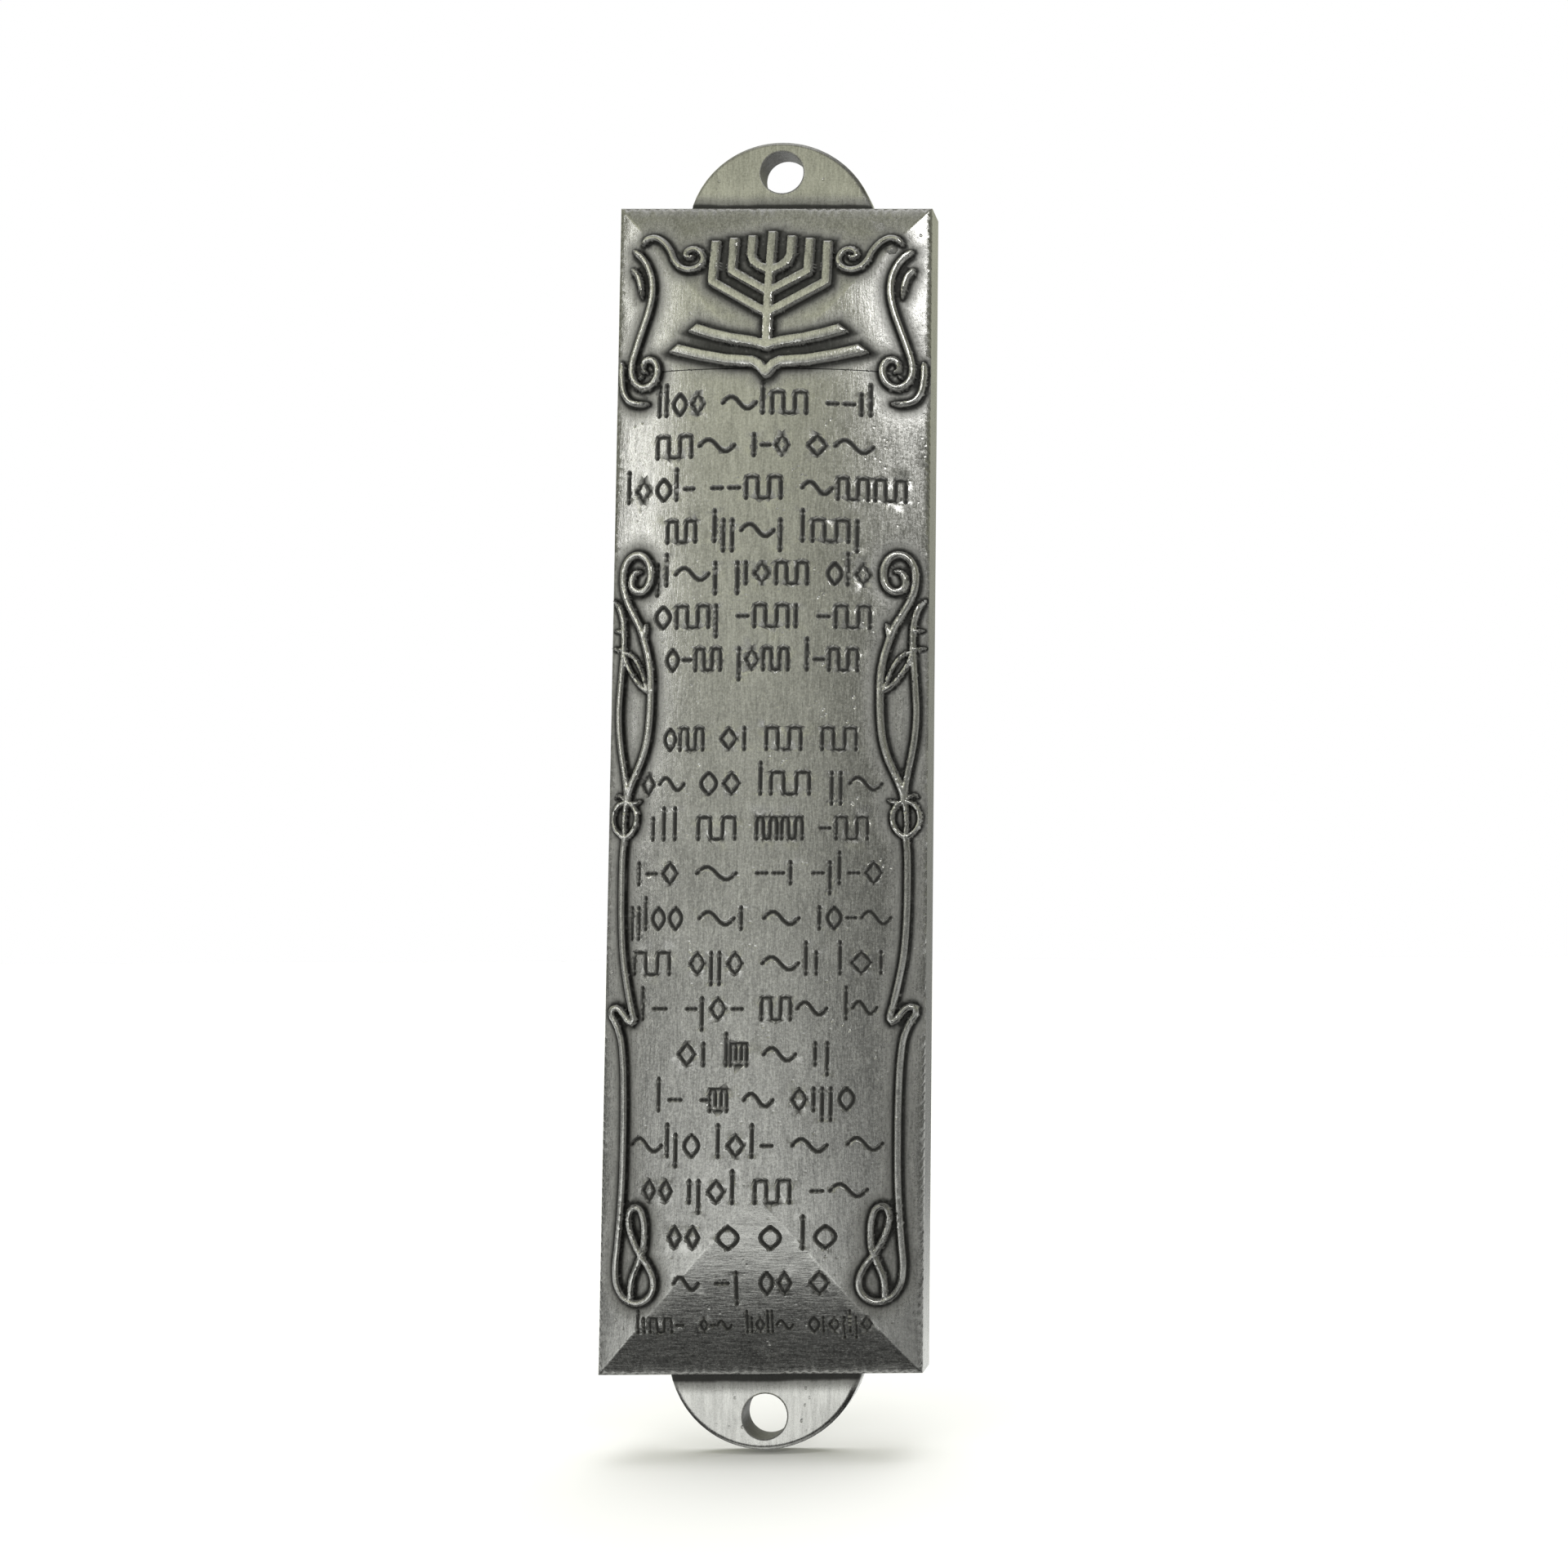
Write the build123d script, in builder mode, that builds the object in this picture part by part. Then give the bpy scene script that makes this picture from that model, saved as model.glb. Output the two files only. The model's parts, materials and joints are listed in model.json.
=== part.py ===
"""Mezuzah case: a cast case with two screw tabs, its rear cover and the rolled scroll inside.

Millimetres. The origin is the middle between the two screw holes, on the wall plane y = 0.
The decorated front faces -Y and +Z is up.
"""
import os
from math import sqrt

from build123d import *

# Cast case
case_width = 28.7
case_height = 105.8
case_depth = 7.0  # wall plane to the crown of the vaulted front
wall_height = 4.3  # wall plane to the front rim
end_slope = 16.2  # length over which the front rises at each end
back_edge_radius = 0.9
casting_wall = 1.0

# Screw tabs
tab_radius = 8.8
tab_centre_z = 51.2
tab_thickness = 2.5
tab_edge_radius = 0.5
hole_radius = 2.0
hole_z = 57.0

# Rear cavity, the rebate that the cover drops into, and the two screw bosses
cavity_width = 23.2
cavity_height = 98.6
cover_width = 25.3
cover_height = 102.4
cover_thickness = 0.8
cover_sink = 0.05  # how far the cover lies below the wall plane
cover_corner_radius = 1.0
cover_clearance = 0.1
boss_z = 45.8
boss_radius = 2.2
boss_rib_width = 1.6
boss_top = 5.3  # depth below the wall plane, inside the front wall
boss_hole_depth = 4.2

# Cover screws, countersunk
screw_radius = 0.8
screw_hole_radius = 0.85
screw_head_radius = 1.5
screw_head_height = 0.65
screw_length = 3.8
recess_length = 1.9
recess_width = 0.4
recess_depth = 0.45

# Scroll, rolled and pressed to an oval, in its clear sleeve
scroll_length = 70.0
scroll_width = 8.8
scroll_thickness = 3.4
scroll_wall = 1.1
sleeve_length = 74.0
sleeve_wall = 0.15
sleeve_gap = 0.15  # all round the scroll
scroll_middle_y = -2.95

# Relief
relief_height = 0.65
bar_width = 0.85
vine_width = 0.62
relief_margin = 0.25  # bare rim outside the relief
relief_root = 3.8  # depth of the plane that the relief is raised from

half_width = case_width / 2
half_height = case_height / 2
crown_rise = case_depth - wall_height
crown_half_length = half_height - end_slope
across_radius = (half_width**2 + crown_rise**2) / (2 * crown_rise)
along_radius = (end_slope**2 + crown_rise**2) / (2 * crown_rise)
cover_face_depth = cover_sink + cover_thickness


def front_depth(radius, inset, reach):
    """Depth of an arc that is concentric with the front's own, at a distance from its top."""
    return case_depth - radius + sqrt((radius - inset) ** 2 - reach**2)


def vaulted_solid(width, height, inset):
    """Block from the wall plane to the front's two crossing arcs, moved in by inset."""
    side_depth = front_depth(across_radius, inset, width / 2)
    end_depth = front_depth(along_radius, inset, height / 2 - crown_half_length)
    top_depth = case_depth - inset
    with BuildPart() as block:
        with BuildSketch(Plane.XY.offset(-height / 2)):
            with BuildLine():
                Polyline((-width / 2, -side_depth), (-width / 2, 0), (width / 2, 0), (width / 2, -side_depth))
                ThreePointArc((width / 2, -side_depth), (0, -top_depth), (-width / 2, -side_depth))
            make_face()
        extrude(amount=height)
        with BuildSketch(Plane.YZ.offset(-width / 2)):
            with BuildLine():
                Polyline(
                    (-end_depth, -height / 2), (0, -height / 2), (0, height / 2), (-end_depth, height / 2)
                )
                TangentArc((-top_depth, crown_half_length), (-end_depth, height / 2), tangent=(0, 1))
                Line((-top_depth, crown_half_length), (-top_depth, -crown_half_length))
                TangentArc((-top_depth, -crown_half_length), (-end_depth, -height / 2), tangent=(0, -1))
            make_face()
        extrude(amount=width, mode=Mode.INTERSECT)
    return block.part


def bar(*points):
    """A straight-sided raised stroke with square ends."""
    with BuildLine() as path:
        Polyline(*points)
    trace(path.line, line_width=bar_width)


def vine(*points):
    """A smooth raised stroke through the points."""
    with BuildLine() as path:
        Spline(*points)
    trace(path.line, line_width=vine_width)


# The relief: a seven-armed lamp over an open book, and a vine with scrolls down each side.
with BuildPart() as relief:
    with BuildSketch(Plane.XZ.offset(relief_root)):
        # lamp arms and book, one side
        bar((-1.75, 49.45), (-1.75, 47.8), (-1.1, 46.8), (0, 46.35))
        bar((-3.45, 49.2), (-3.45, 46.2), (0, 44.25))
        bar((-5.1, 48.9), (-5.15, 45.15), (0, 42.1))
        bar((-6.75, 40.9), (-3.3, 39.75), (-1.3, 39.45), (0, 39.0))
        bar((-8.55, 39.1), (-3.6, 37.75), (-1.1, 37.6), (0, 36.6))
        # scrolls, leaf and bracket of the upper corner
        vine((-11.9, 49.0), (-10.8, 49.65), (-9.7, 49.0), (-8.6, 47.1), (-7.4, 46.45), (-6.2, 47.2))
        vine((-6.2, 47.2), (-6.3, 48.1), (-7.3, 48.45), (-7.8, 47.95), (-7.3, 47.6))
        vine((-12.7, 48.45), (-11.6, 47.4), (-10.9, 45.7), (-10.9, 43.8), (-12.1, 40.1), (-12.8, 37.4))
        vine((-12.8, 37.4), (-12.3, 36.0), (-11.2, 35.7), (-10.3, 36.5), (-10.5, 38.0), (-11.5, 38.0))
        vine((-12.9, 46.8), (-12.1, 45.6), (-11.8, 44.2))
        vine((-13.75, 38.2), (-13.7, 36.0), (-13.0, 34.6), (-11.1, 34.15))
        # side vine, from its upper curl to the bud, and its leaf
        vine((-12.0, 18.5), (-12.3, 17.5), (-11.4, 16.9), (-10.6, 17.7), (-10.7, 19.5), (-11.8, 20.3))
        vine((-11.8, 20.3), (-13.0, 19.4), (-13.1, 17.0), (-11.9, 14.4), (-10.7, 11.3), (-10.25, 8.5))
        vine((-10.25, 8.5), (-10.25, 5.5), (-10.85, 2.0), (-12.4, -2.0))
        vine((-13.9, 16.0), (-13.15, 14.5), (-13.3, 8.0), (-13.3, 4.5), (-12.9, 1.2), (-12.4, -2.0))
        vine((-13.0, 11.3), (-11.8, 9.9), (-10.6, 7.9))
        # bud, the strand below it with its fold, and the crossed loops at the foot
        with Locations((-12.55, -3.65)):
            Ellipse(1.2, 1.7)
        vine((-12.6, -5.1), (-12.8, -9.5), (-12.5, -16.0), (-11.45, -21.7))
        vine((-11.45, -21.7), (-12.3, -21.2), (-12.9, -20.6), (-13.5, -20.8))
        vine((-13.5, -20.8), (-12.5, -23.5), (-12.15, -30.0), (-12.2, -37.5), (-12.7, -43.4))
        vine((-12.7, -43.4), (-12.2, -45.5), (-10.7, -46.4), (-9.2, -45.5), (-9.1, -44.0), (-10.2, -42.3))
        vine((-10.2, -42.3), (-11.2, -40.4), (-11.45, -38.7), (-10.9, -38.0))
        vine((-10.9, -38.0), (-10.1, -38.6), (-9.95, -40.6), (-10.3, -42.6), (-11.15, -45.8))
        mirror(about=Plane.YZ)
        bar((0, 49.95), (0, 39.4))
    extrude(amount=case_depth)
    add(
        vaulted_solid(case_width - 2 * relief_margin, case_height - 2 * relief_margin, -relief_height),
        mode=Mode.INTERSECT,
    )

# The screw tabs are two discs in the wall plane; the case covers their inner halves.
with BuildPart() as tabs:
    with BuildSketch(Plane.XZ):
        with Locations((0, tab_centre_z), (0, -tab_centre_z)):
            Circle(tab_radius)
    extrude(amount=tab_thickness)
    fillet(tabs.edges().group_by(Axis.Y)[0], radius=tab_edge_radius)

# Case: one casting with the tabs and the relief, hollow behind.
with BuildPart() as case_body:
    add(vaulted_solid(case_width, case_height, 0))
    fillet(case_body.faces().sort_by(Axis.Y)[-1].edges(), radius=back_edge_radius)
    add(tabs.part)
    add(relief.part)
    add(vaulted_solid(cavity_width, cavity_height, casting_wall), mode=Mode.SUBTRACT)
    with BuildSketch(Plane.XZ):
        RectangleRounded(
            cover_width + 2 * cover_clearance,
            cover_height + 2 * cover_clearance,
            cover_corner_radius + cover_clearance,
        )
    extrude(amount=cover_face_depth, mode=Mode.SUBTRACT)
    # screw bosses, each ribbed to its end wall
    rib_length = cavity_height / 2 - boss_z
    with BuildSketch(Plane.XZ.offset(cover_face_depth)):
        with Locations((0, boss_z), (0, -boss_z)):
            Circle(boss_radius)
        with Locations((0, boss_z + rib_length / 2), (0, -boss_z - rib_length / 2)):
            Rectangle(boss_rib_width, rib_length)
    extrude(amount=boss_top - cover_face_depth)
    with BuildSketch(Plane.XZ.offset(cover_face_depth)):
        with Locations((0, boss_z), (0, -boss_z)):
            Circle(screw_hole_radius)
    extrude(amount=boss_hole_depth - cover_face_depth, mode=Mode.SUBTRACT)
    with BuildSketch(Plane.XZ):
        with Locations((0, hole_z), (0, -hole_z)):
            Circle(hole_radius)
    extrude(amount=tab_thickness, mode=Mode.SUBTRACT)

# Rear cover: a thin plate that drops into the rebate, countersunk for its two screws.
with BuildPart() as back_cover:
    with BuildSketch(Plane.XZ.offset(cover_sink)):
        RectangleRounded(cover_width, cover_height, cover_corner_radius)
    extrude(amount=cover_thickness)
    with Locations(*(Plane((0, -cover_sink, z), z_dir=(0, 1, 0)) for z in (boss_z, -boss_z))):
        CounterSinkHole(screw_hole_radius, screw_head_radius + cover_sink, counter_sink_angle=90)

# Cover screws: both in one node.
with BuildPart() as cover_screws:
    head_depth = cover_sink + screw_head_height
    with BuildSketch(Plane.XY.offset(boss_z)):
        with BuildLine():
            Polyline(
                (0, -cover_sink),
                (screw_head_radius, -cover_sink),
                (screw_radius, -head_depth),
                (screw_radius, -screw_length + screw_radius / 2),
                (screw_radius / 2, -screw_length),
                (0, -screw_length),
                close=True,
            )
        make_face()
    revolve(axis=Axis((0, 0, boss_z), (0, 1, 0)))
    with BuildSketch(Plane.XZ.offset(cover_sink)):
        with Locations((0, boss_z)):
            Rectangle(recess_length, recess_width)
            Rectangle(recess_width, recess_length)
    extrude(amount=recess_depth, mode=Mode.SUBTRACT)
    mirror(about=Plane.XY)

# Parchment scroll: the roll, hollow in the middle.
with BuildPart() as parchment_scroll:
    with BuildSketch(Plane.XY.offset(-scroll_length / 2)):
        with Locations((0, scroll_middle_y)):
            SlotOverall(scroll_width, scroll_thickness)
            SlotOverall(
                scroll_width - 2 * scroll_wall,
                scroll_thickness - 2 * scroll_wall,
                mode=Mode.SUBTRACT,
            )
    extrude(amount=scroll_length)

# Scroll sleeve: thin clear wrap, open at both ends.
with BuildPart() as scroll_sleeve:
    with BuildSketch(Plane.XY.offset(-sleeve_length / 2)):
        with Locations((0, scroll_middle_y)):
            SlotOverall(
                scroll_width + 2 * (sleeve_gap + sleeve_wall),
                scroll_thickness + 2 * (sleeve_gap + sleeve_wall),
            )
            SlotOverall(
                scroll_width + 2 * sleeve_gap,
                scroll_thickness + 2 * sleeve_gap,
                mode=Mode.SUBTRACT,
            )
    extrude(amount=sleeve_length)

case_body.part.label = "case_body"
back_cover.part.label = "back_cover"
cover_screws.part.label = "cover_screws"
parchment_scroll.part.label = "parchment_scroll"
scroll_sleeve.part.label = "scroll_sleeve"

os.makedirs("parts", exist_ok=True)
export_step(case_body.part, "parts/case_body.step")
export_step(back_cover.part, "parts/back_cover.step")
export_step(cover_screws.part, "parts/cover_screws.step")
export_step(parchment_scroll.part, "parts/parchment_scroll.step")
export_step(scroll_sleeve.part, "parts/scroll_sleeve.step")
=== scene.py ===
"""Mezuzah case of about 12 cm: the antiqued casting, its rear cover and screws, and the scroll inside.

Metres, +Z up, the decorated front towards -Y and the wall at y = 0. The relief and the engraved marks
are written in millimetres as (x, z) on the front; those of the left side are mirrored to the right.
"""
import json
import math
from typing import NamedTuple

import bmesh
import bpy
import numpy as np
from bpy.props import FloatProperty, FloatVectorProperty, IntProperty, PointerProperty
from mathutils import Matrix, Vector
from mathutils.geometry import delaunay_2d_cdt


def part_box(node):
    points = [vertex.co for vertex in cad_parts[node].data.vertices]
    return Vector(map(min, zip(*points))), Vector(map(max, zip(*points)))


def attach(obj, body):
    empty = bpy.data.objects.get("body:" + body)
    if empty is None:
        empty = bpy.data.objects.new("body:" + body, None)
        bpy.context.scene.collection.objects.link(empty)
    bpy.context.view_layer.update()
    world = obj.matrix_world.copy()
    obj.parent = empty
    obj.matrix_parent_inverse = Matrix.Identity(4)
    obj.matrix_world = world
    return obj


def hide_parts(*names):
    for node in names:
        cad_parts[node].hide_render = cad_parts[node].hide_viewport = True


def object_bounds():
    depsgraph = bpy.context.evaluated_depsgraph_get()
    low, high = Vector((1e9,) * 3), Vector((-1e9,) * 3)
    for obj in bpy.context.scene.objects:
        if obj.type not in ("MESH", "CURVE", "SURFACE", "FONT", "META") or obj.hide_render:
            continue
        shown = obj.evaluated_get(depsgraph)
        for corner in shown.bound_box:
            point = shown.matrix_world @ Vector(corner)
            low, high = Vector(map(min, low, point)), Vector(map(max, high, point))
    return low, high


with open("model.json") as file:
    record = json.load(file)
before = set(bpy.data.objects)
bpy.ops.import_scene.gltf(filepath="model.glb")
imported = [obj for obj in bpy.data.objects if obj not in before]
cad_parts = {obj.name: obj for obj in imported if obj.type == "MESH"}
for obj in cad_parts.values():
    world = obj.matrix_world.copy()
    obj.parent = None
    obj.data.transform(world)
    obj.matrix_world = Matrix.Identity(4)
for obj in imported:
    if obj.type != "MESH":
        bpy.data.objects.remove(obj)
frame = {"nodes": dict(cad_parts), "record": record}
cad_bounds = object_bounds()

bl_info = {
    "name": "Mezuzah Case",
    "version": (1, 0, 0),
    "blender": (4, 5, 0),
    "location": "View3D > Sidebar > Mezuzah",
    "description": "Builds an antiqued cast mezuzah case with its cover, screws and scroll",
    "category": "Add Mesh",
}

MM = 0.001


# ---------------------------------------------------------------- measures of the case


class CaseMeasures(NamedTuple):
    """Sizes of the plain case in millimetres."""

    half_width: float
    half_height: float
    rim_depth: float
    tab_thickness: float
    hole_height: float
    hole_radius: float


def measure_case():
    """Reads the plain case: the side walls are its widest vertices, the tabs reach past its ends."""
    mesh = frame["nodes"]["case_body"].data
    flat = np.empty(len(mesh.vertices) * 3)
    mesh.vertices.foreach_get("co", flat)
    points = flat.reshape(-1, 3) / MM
    half_width = np.abs(points[:, 0]).max()
    wall = points[np.abs(points[:, 0]) > half_width - 0.01]
    half_height = np.abs(wall[:, 2]).max()
    tab = points[np.abs(points[:, 2]) > half_height + 1.0]
    holes = next(mount["dims"] for mount in frame["record"]["mounts"] if mount["kind"] == "bolt_pattern")
    return CaseMeasures(
        half_width, half_height, -wall[:, 1].min(), -tab[:, 1].min(),
        holes["spacing_y_mm"] / 2, holes["hole_r_mm"],
    )


CASE = measure_case()


# ---------------------------------------------------------------- settings


class CaseSettings(bpy.types.PropertyGroup):
    """Shape and colours of the casting."""

    crown_rise: FloatProperty(
        name="Crown Rise", description="Height of the vaulted front above its rim",
        default=2.7 * MM, unit="LENGTH", precision=4,
    )
    end_slope: FloatProperty(
        name="End Slope", description="Length over which the front rises at each end",
        default=16.2 * MM, unit="LENGTH", precision=4,
    )
    relief_height: FloatProperty(
        name="Relief Height", description="Height of the raised lines above the front",
        default=0.62 * MM, unit="LENGTH", precision=5,
    )
    mark_depth: FloatProperty(
        name="Mark Depth", description="Depth of the engraved marks",
        default=0.22 * MM, unit="LENGTH", precision=5,
    )
    metal_colour: FloatVectorProperty(
        name="Metal", description="Brushed metal of the high faces", subtype="COLOR",
        size=3, min=0, max=1, default=(0.70, 0.695, 0.675),
    )
    # also the colour of the painted shade at the tab roots, in the screw holes and round the relief
    patina_and_shade_colour: FloatVectorProperty(
        name="Patina", description="Dark antiquing in the recesses", subtype="COLOR",
        size=3, min=0, max=1, default=(0.012, 0.012, 0.011),
    )


class ScrollSettings(bpy.types.PropertyGroup):
    """Parchment roll."""

    turns: IntProperty(
        name="Turns", description="How many times the parchment is rolled", default=4, min=2,
    )
    sheet_thickness: FloatProperty(
        name="Sheet Thickness", description="Thickness of the parchment",
        default=0.16 * MM, unit="LENGTH", precision=5,
    )
    parchment_colour: FloatVectorProperty(
        name="Parchment", description="Colour of the skin side", subtype="COLOR",
        size=3, min=0, max=1, default=(0.80, 0.70, 0.50),
    )


class StageSettings(bpy.types.PropertyGroup):
    """Light and floor."""

    key_power: FloatProperty(
        name="Key Light", description="Power of the large light on the left", default=0.19, unit="POWER",
    )
    overhead_power: FloatProperty(
        name="Overhead Light", description="Strength of the even light on the floor", default=2.6, min=0,
    )
    floor_gap: FloatProperty(
        name="Floor Gap", description="Space between the lower tab and the floor",
        default=0.4 * MM, unit="LENGTH", precision=5,
    )


# ---------------------------------------------------------------- raised lines and marks


class Stroke(NamedTuple):
    """A line of the relief or of a mark, in millimetres.

    The halo is how far its dark recess reaches, the tapers are the lengths over which its ends narrow,
    and the cut is a point and the direction beyond it.
    """

    points: tuple
    width: float
    smooth: bool
    halo: float
    tapers: tuple
    flatness: float
    cut: tuple = ()


BAR_WIDTH = 0.92
BAND_WIDTH = 1.0
BAR_HALO = 1.0
BAR_FLATNESS = 7.0
VINE_WIDTH = 0.66
VINE_HALO = 0.6
VINE_FLATNESS = 2.6
MARK_FLATNESS = 4.0
NO_TAPER = (0.0, 0.0)
UP = (0.0, 1.0)
SLANT = (-0.62, 0.78)


def bar(*points, end, facing=UP, width=BAR_WIDTH):
    """Flat-topped straight line with a broad dark recess, cut off at end across the facing direction."""
    return Stroke(points, width, False, BAR_HALO, NO_TAPER, BAR_FLATNESS, (*end, *facing))


def vine(*points, width=VINE_WIDTH, tapers=NO_TAPER, halo=VINE_HALO):
    """Rounded flowing line."""
    return Stroke(points, width, True, halo, tapers, VINE_FLATNESS)


def mark(points, width):
    """Engraved line with corners."""
    return Stroke(points, width, False, 0.0, NO_TAPER, MARK_FLATNESS)


def lamp_and_book():
    """Left half of the seven-armed lamp, without its stem, and of the open book below it."""
    return [
        bar((-1.78, 50.0), (-1.8, 47.9), (-1.55, 47.3), (-1.0, 46.75), (0, 46.35), end=(-1.8, 49.75)),
        bar((-3.45, 49.9), (-3.45, 46.25), (0, 44.2), end=(-3.45, 49.5)),
        bar((-5.08, 49.5), (-5.15, 45.2), (0, 42.15), end=(-5.1, 49.2)),
        bar((-7.3, 41.1), (-6.75, 40.85), (-5.0, 40.25), (-3.3, 39.8), (-1.3, 39.5), (0, 39.1),
            end=(-6.75, 40.85), facing=SLANT, width=BAND_WIDTH),
        bar((-9.2, 39.3), (-8.55, 39.05), (-6.0, 38.35), (-3.6, 37.85), (-1.2, 37.65), (-0.6, 37.3),
            (0, 36.6), end=(-8.55, 39.05), facing=SLANT, width=BAND_WIDTH),
    ]


def corner_scrolls():
    """Upper left corner: the scroll beside the lamp, the hanging scroll, its leaf and the bracket."""
    return [
        vine((-11.9, 49.0), (-11.4, 49.5), (-10.7, 49.65), (-9.9, 49.2), (-9.2, 48.3), (-8.8, 47.4),
             (-8.2, 46.7), (-7.4, 46.42), (-6.6, 46.65), (-6.15, 47.3), (-6.35, 48.05), (-6.95, 48.5),
             (-7.55, 48.35), (-7.8, 47.9), (-7.5, 47.6), (-7.05, 47.72), width=0.64, tapers=(0.5, 1.2)),
        vine((-12.75, 48.5), (-11.95, 47.8), (-11.3, 46.8), (-10.9, 45.6), (-10.85, 44.3), (-11.15, 42.8),
             (-11.7, 41.2), (-12.3, 39.5), (-12.75, 38.0), (-12.75, 36.9), (-12.3, 36.05), (-11.5, 35.65),
             (-10.7, 35.95), (-10.25, 36.7), (-10.25, 37.5), (-10.7, 38.15), (-11.3, 38.2), (-11.65, 37.75),
             (-11.55, 37.2), (-11.25, 37.05), width=0.68, tapers=(0.5, 1.6)),
        vine((-12.9, 46.8), (-12.4, 46.25), (-12.05, 45.3), (-11.85, 44.1), width=0.62, tapers=(0.3, 1.3)),
        vine((-13.8, 38.2), (-13.78, 36.8), (-13.55, 35.4), (-13.0, 34.55), (-12.1, 34.2), (-11.05, 34.15),
             width=0.6, tapers=(0.4, 0.8)),
        vine((-11.6, 36.75), (-12.0, 36.5), width=0.3, tapers=(0.2, 0.3), halo=0.2),
    ]


def side_vine():
    """Left side: the curl with its thorns and leaf, the two strands that meet in the bud below."""
    return [
        vine((-11.45, 18.75), (-11.95, 18.7), (-12.35, 18.1), (-12.35, 17.4), (-11.9, 16.95), (-11.3, 16.9),
             (-10.75, 17.35), (-10.5, 18.2), (-10.6, 19.2), (-11.15, 20.05), (-11.9, 20.3), (-12.6, 20.0),
             (-13.1, 19.2), (-13.25, 18.2), (-13.1, 17.0), (-12.65, 15.8), (-12.0, 14.6), (-11.45, 13.6),
             (-11.0, 12.3), (-10.6, 10.9), (-10.35, 9.4), (-10.3, 7.6), (-10.35, 5.4), (-10.55, 3.5),
             (-11.0, 1.8), (-11.7, 0.2), (-12.3, -1.3), (-12.45, -2.3), width=0.72, tapers=(1.0, 0.0)),
        vine((-14.1, 16.2), (-13.6, 15.6), (-13.2, 14.5), (-13.05, 13.0), (-13.05, 11.4), (-13.15, 10.0),
             (-13.3, 8.0), (-13.4, 6.0), (-13.3, 4.0), (-13.05, 2.2), (-12.75, 0.6), (-12.5, -1.0),
             (-12.45, -2.3), width=0.62, tapers=(1.0, 0.0)),
        vine((-13.1, 13.35), (-14.0, 13.45), width=0.34, tapers=(0.0, 0.5), halo=0.3),
        vine((-13.05, 11.65), (-14.15, 11.85), width=0.36, tapers=(0.0, 0.5), halo=0.3),
        vine((-11.05, 12.7), (-10.95, 13.3), (-10.8, 13.9), width=0.55, tapers=(0.0, 0.25)),
        vine((-12.95, 11.4), (-12.2, 11.1), (-11.5, 10.2), (-11.0, 9.1), (-10.65, 7.85),
             width=0.42, halo=0.3),
        vine((-12.95, 11.1), (-12.55, 10.1), (-11.8, 8.95), (-11.1, 8.15), (-10.65, 7.85),
             width=0.5, halo=0.3),
    ]


def bud_and_strand():
    """Left side: the bud, the strand with its fold, and the two crossed loops at the foot."""
    return [
        vine((-12.5, -2.1), (-13.2, -2.35), (-13.65, -3.0), (-13.75, -3.8), (-13.5, -4.6), (-12.95, -5.15),
             (-12.6, -5.4), width=0.46, halo=0.3),
        vine((-12.4, -2.1), (-11.85, -2.45), (-11.5, -3.1), (-11.45, -3.8), (-11.7, -4.6), (-12.2, -5.15),
             (-12.6, -5.4), width=0.5, halo=0.4),
        vine((-12.5, -2.1), (-12.65, -3.7), (-12.6, -5.4), width=0.5, halo=0.3),
        vine((-12.3, -2.15), (-11.7, -2.25), (-11.05, -2.05), width=0.36, tapers=(0.0, 0.6), halo=0.3),
        vine((-12.7, -1.9), (-13.2, -1.5), (-13.6, -1.75), width=0.28, tapers=(0.0, 0.4), halo=0.25),
        vine((-12.6, -5.2), (-12.75, -7.0), (-12.78, -10.0), (-12.72, -13.0), (-12.5, -16.0),
             (-12.05, -18.6), (-11.6, -20.6), (-11.4, -21.5), (-11.6, -21.85), (-12.0, -21.55),
             (-12.5, -20.9), (-13.05, -20.5), (-13.5, -20.65), (-13.55, -21.15), (-13.1, -21.9),
             (-12.6, -23.2), (-12.35, -25.0), (-12.2, -28.0), (-12.15, -32.0), (-12.2, -36.0),
             (-12.35, -39.0), (-12.55, -41.5), (-12.7, -43.4), (-12.5, -44.9), (-11.8, -45.95),
             (-10.75, -46.35), (-9.7, -46.0), (-9.1, -45.2), (-9.05, -44.2), (-9.5, -43.2),
             (-10.15, -42.35), (-10.8, -41.3), (-11.35, -40.0), (-11.5, -38.8), (-11.1, -38.05),
             (-10.45, -38.15), (-10.05, -39.1), (-9.95, -40.4), (-10.1, -41.8), (-10.6, -43.1),
             (-11.1, -44.4), (-11.2, -45.9), width=0.64),
    ]


def mirrored(strokes):
    """The strokes and their mirror images in the plane x = 0."""
    images = [
        stroke._replace(
            points=tuple((-x, z) for x, z in stroke.points),
            cut=tuple(sign * value for sign, value in zip((-1, 1, -1, 1), stroke.cut)),
        )
        for stroke in strokes
    ]
    return strokes + images


def relief_strokes():
    """The whole relief, with the lamp's stem."""
    stem = bar((0, 50.5), (0, 39.3), end=(0, 50.2))
    return mirrored(lamp_and_book() + corner_scrolls() + side_vine() + bud_and_strand()) + [stem]


MARK_SEED = 12
WORD_GAP = 1.15
SCORE_LINE = mark(((-9.9, 37.1), (9.9, 37.1)), 0.1)
UPPER_ROWS = {
    "top": 33.95, "pitch": 3.89, "size": 1.95, "width": 0.48, "words": 3,
    "reach": (10.0, 10.1, 12.9, 9.0, 9.9, 10.0, 8.85),
}
LOWER_ROWS = {
    "top": 3.45, "pitch": 4.0, "size": 1.95, "width": 0.43, "words": 4,
    "reach": (8.9, 11.0, 9.9, 11.2, 11.8, 11.5, 10.6, 7.1, 8.9, 11.4, 10.2, 7.75, 7.2),
}
LAST_ROW = {"top": -48.3, "pitch": 0.0, "size": 1.3, "width": 0.36, "words": 4, "reach": (10.5,)}


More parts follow.
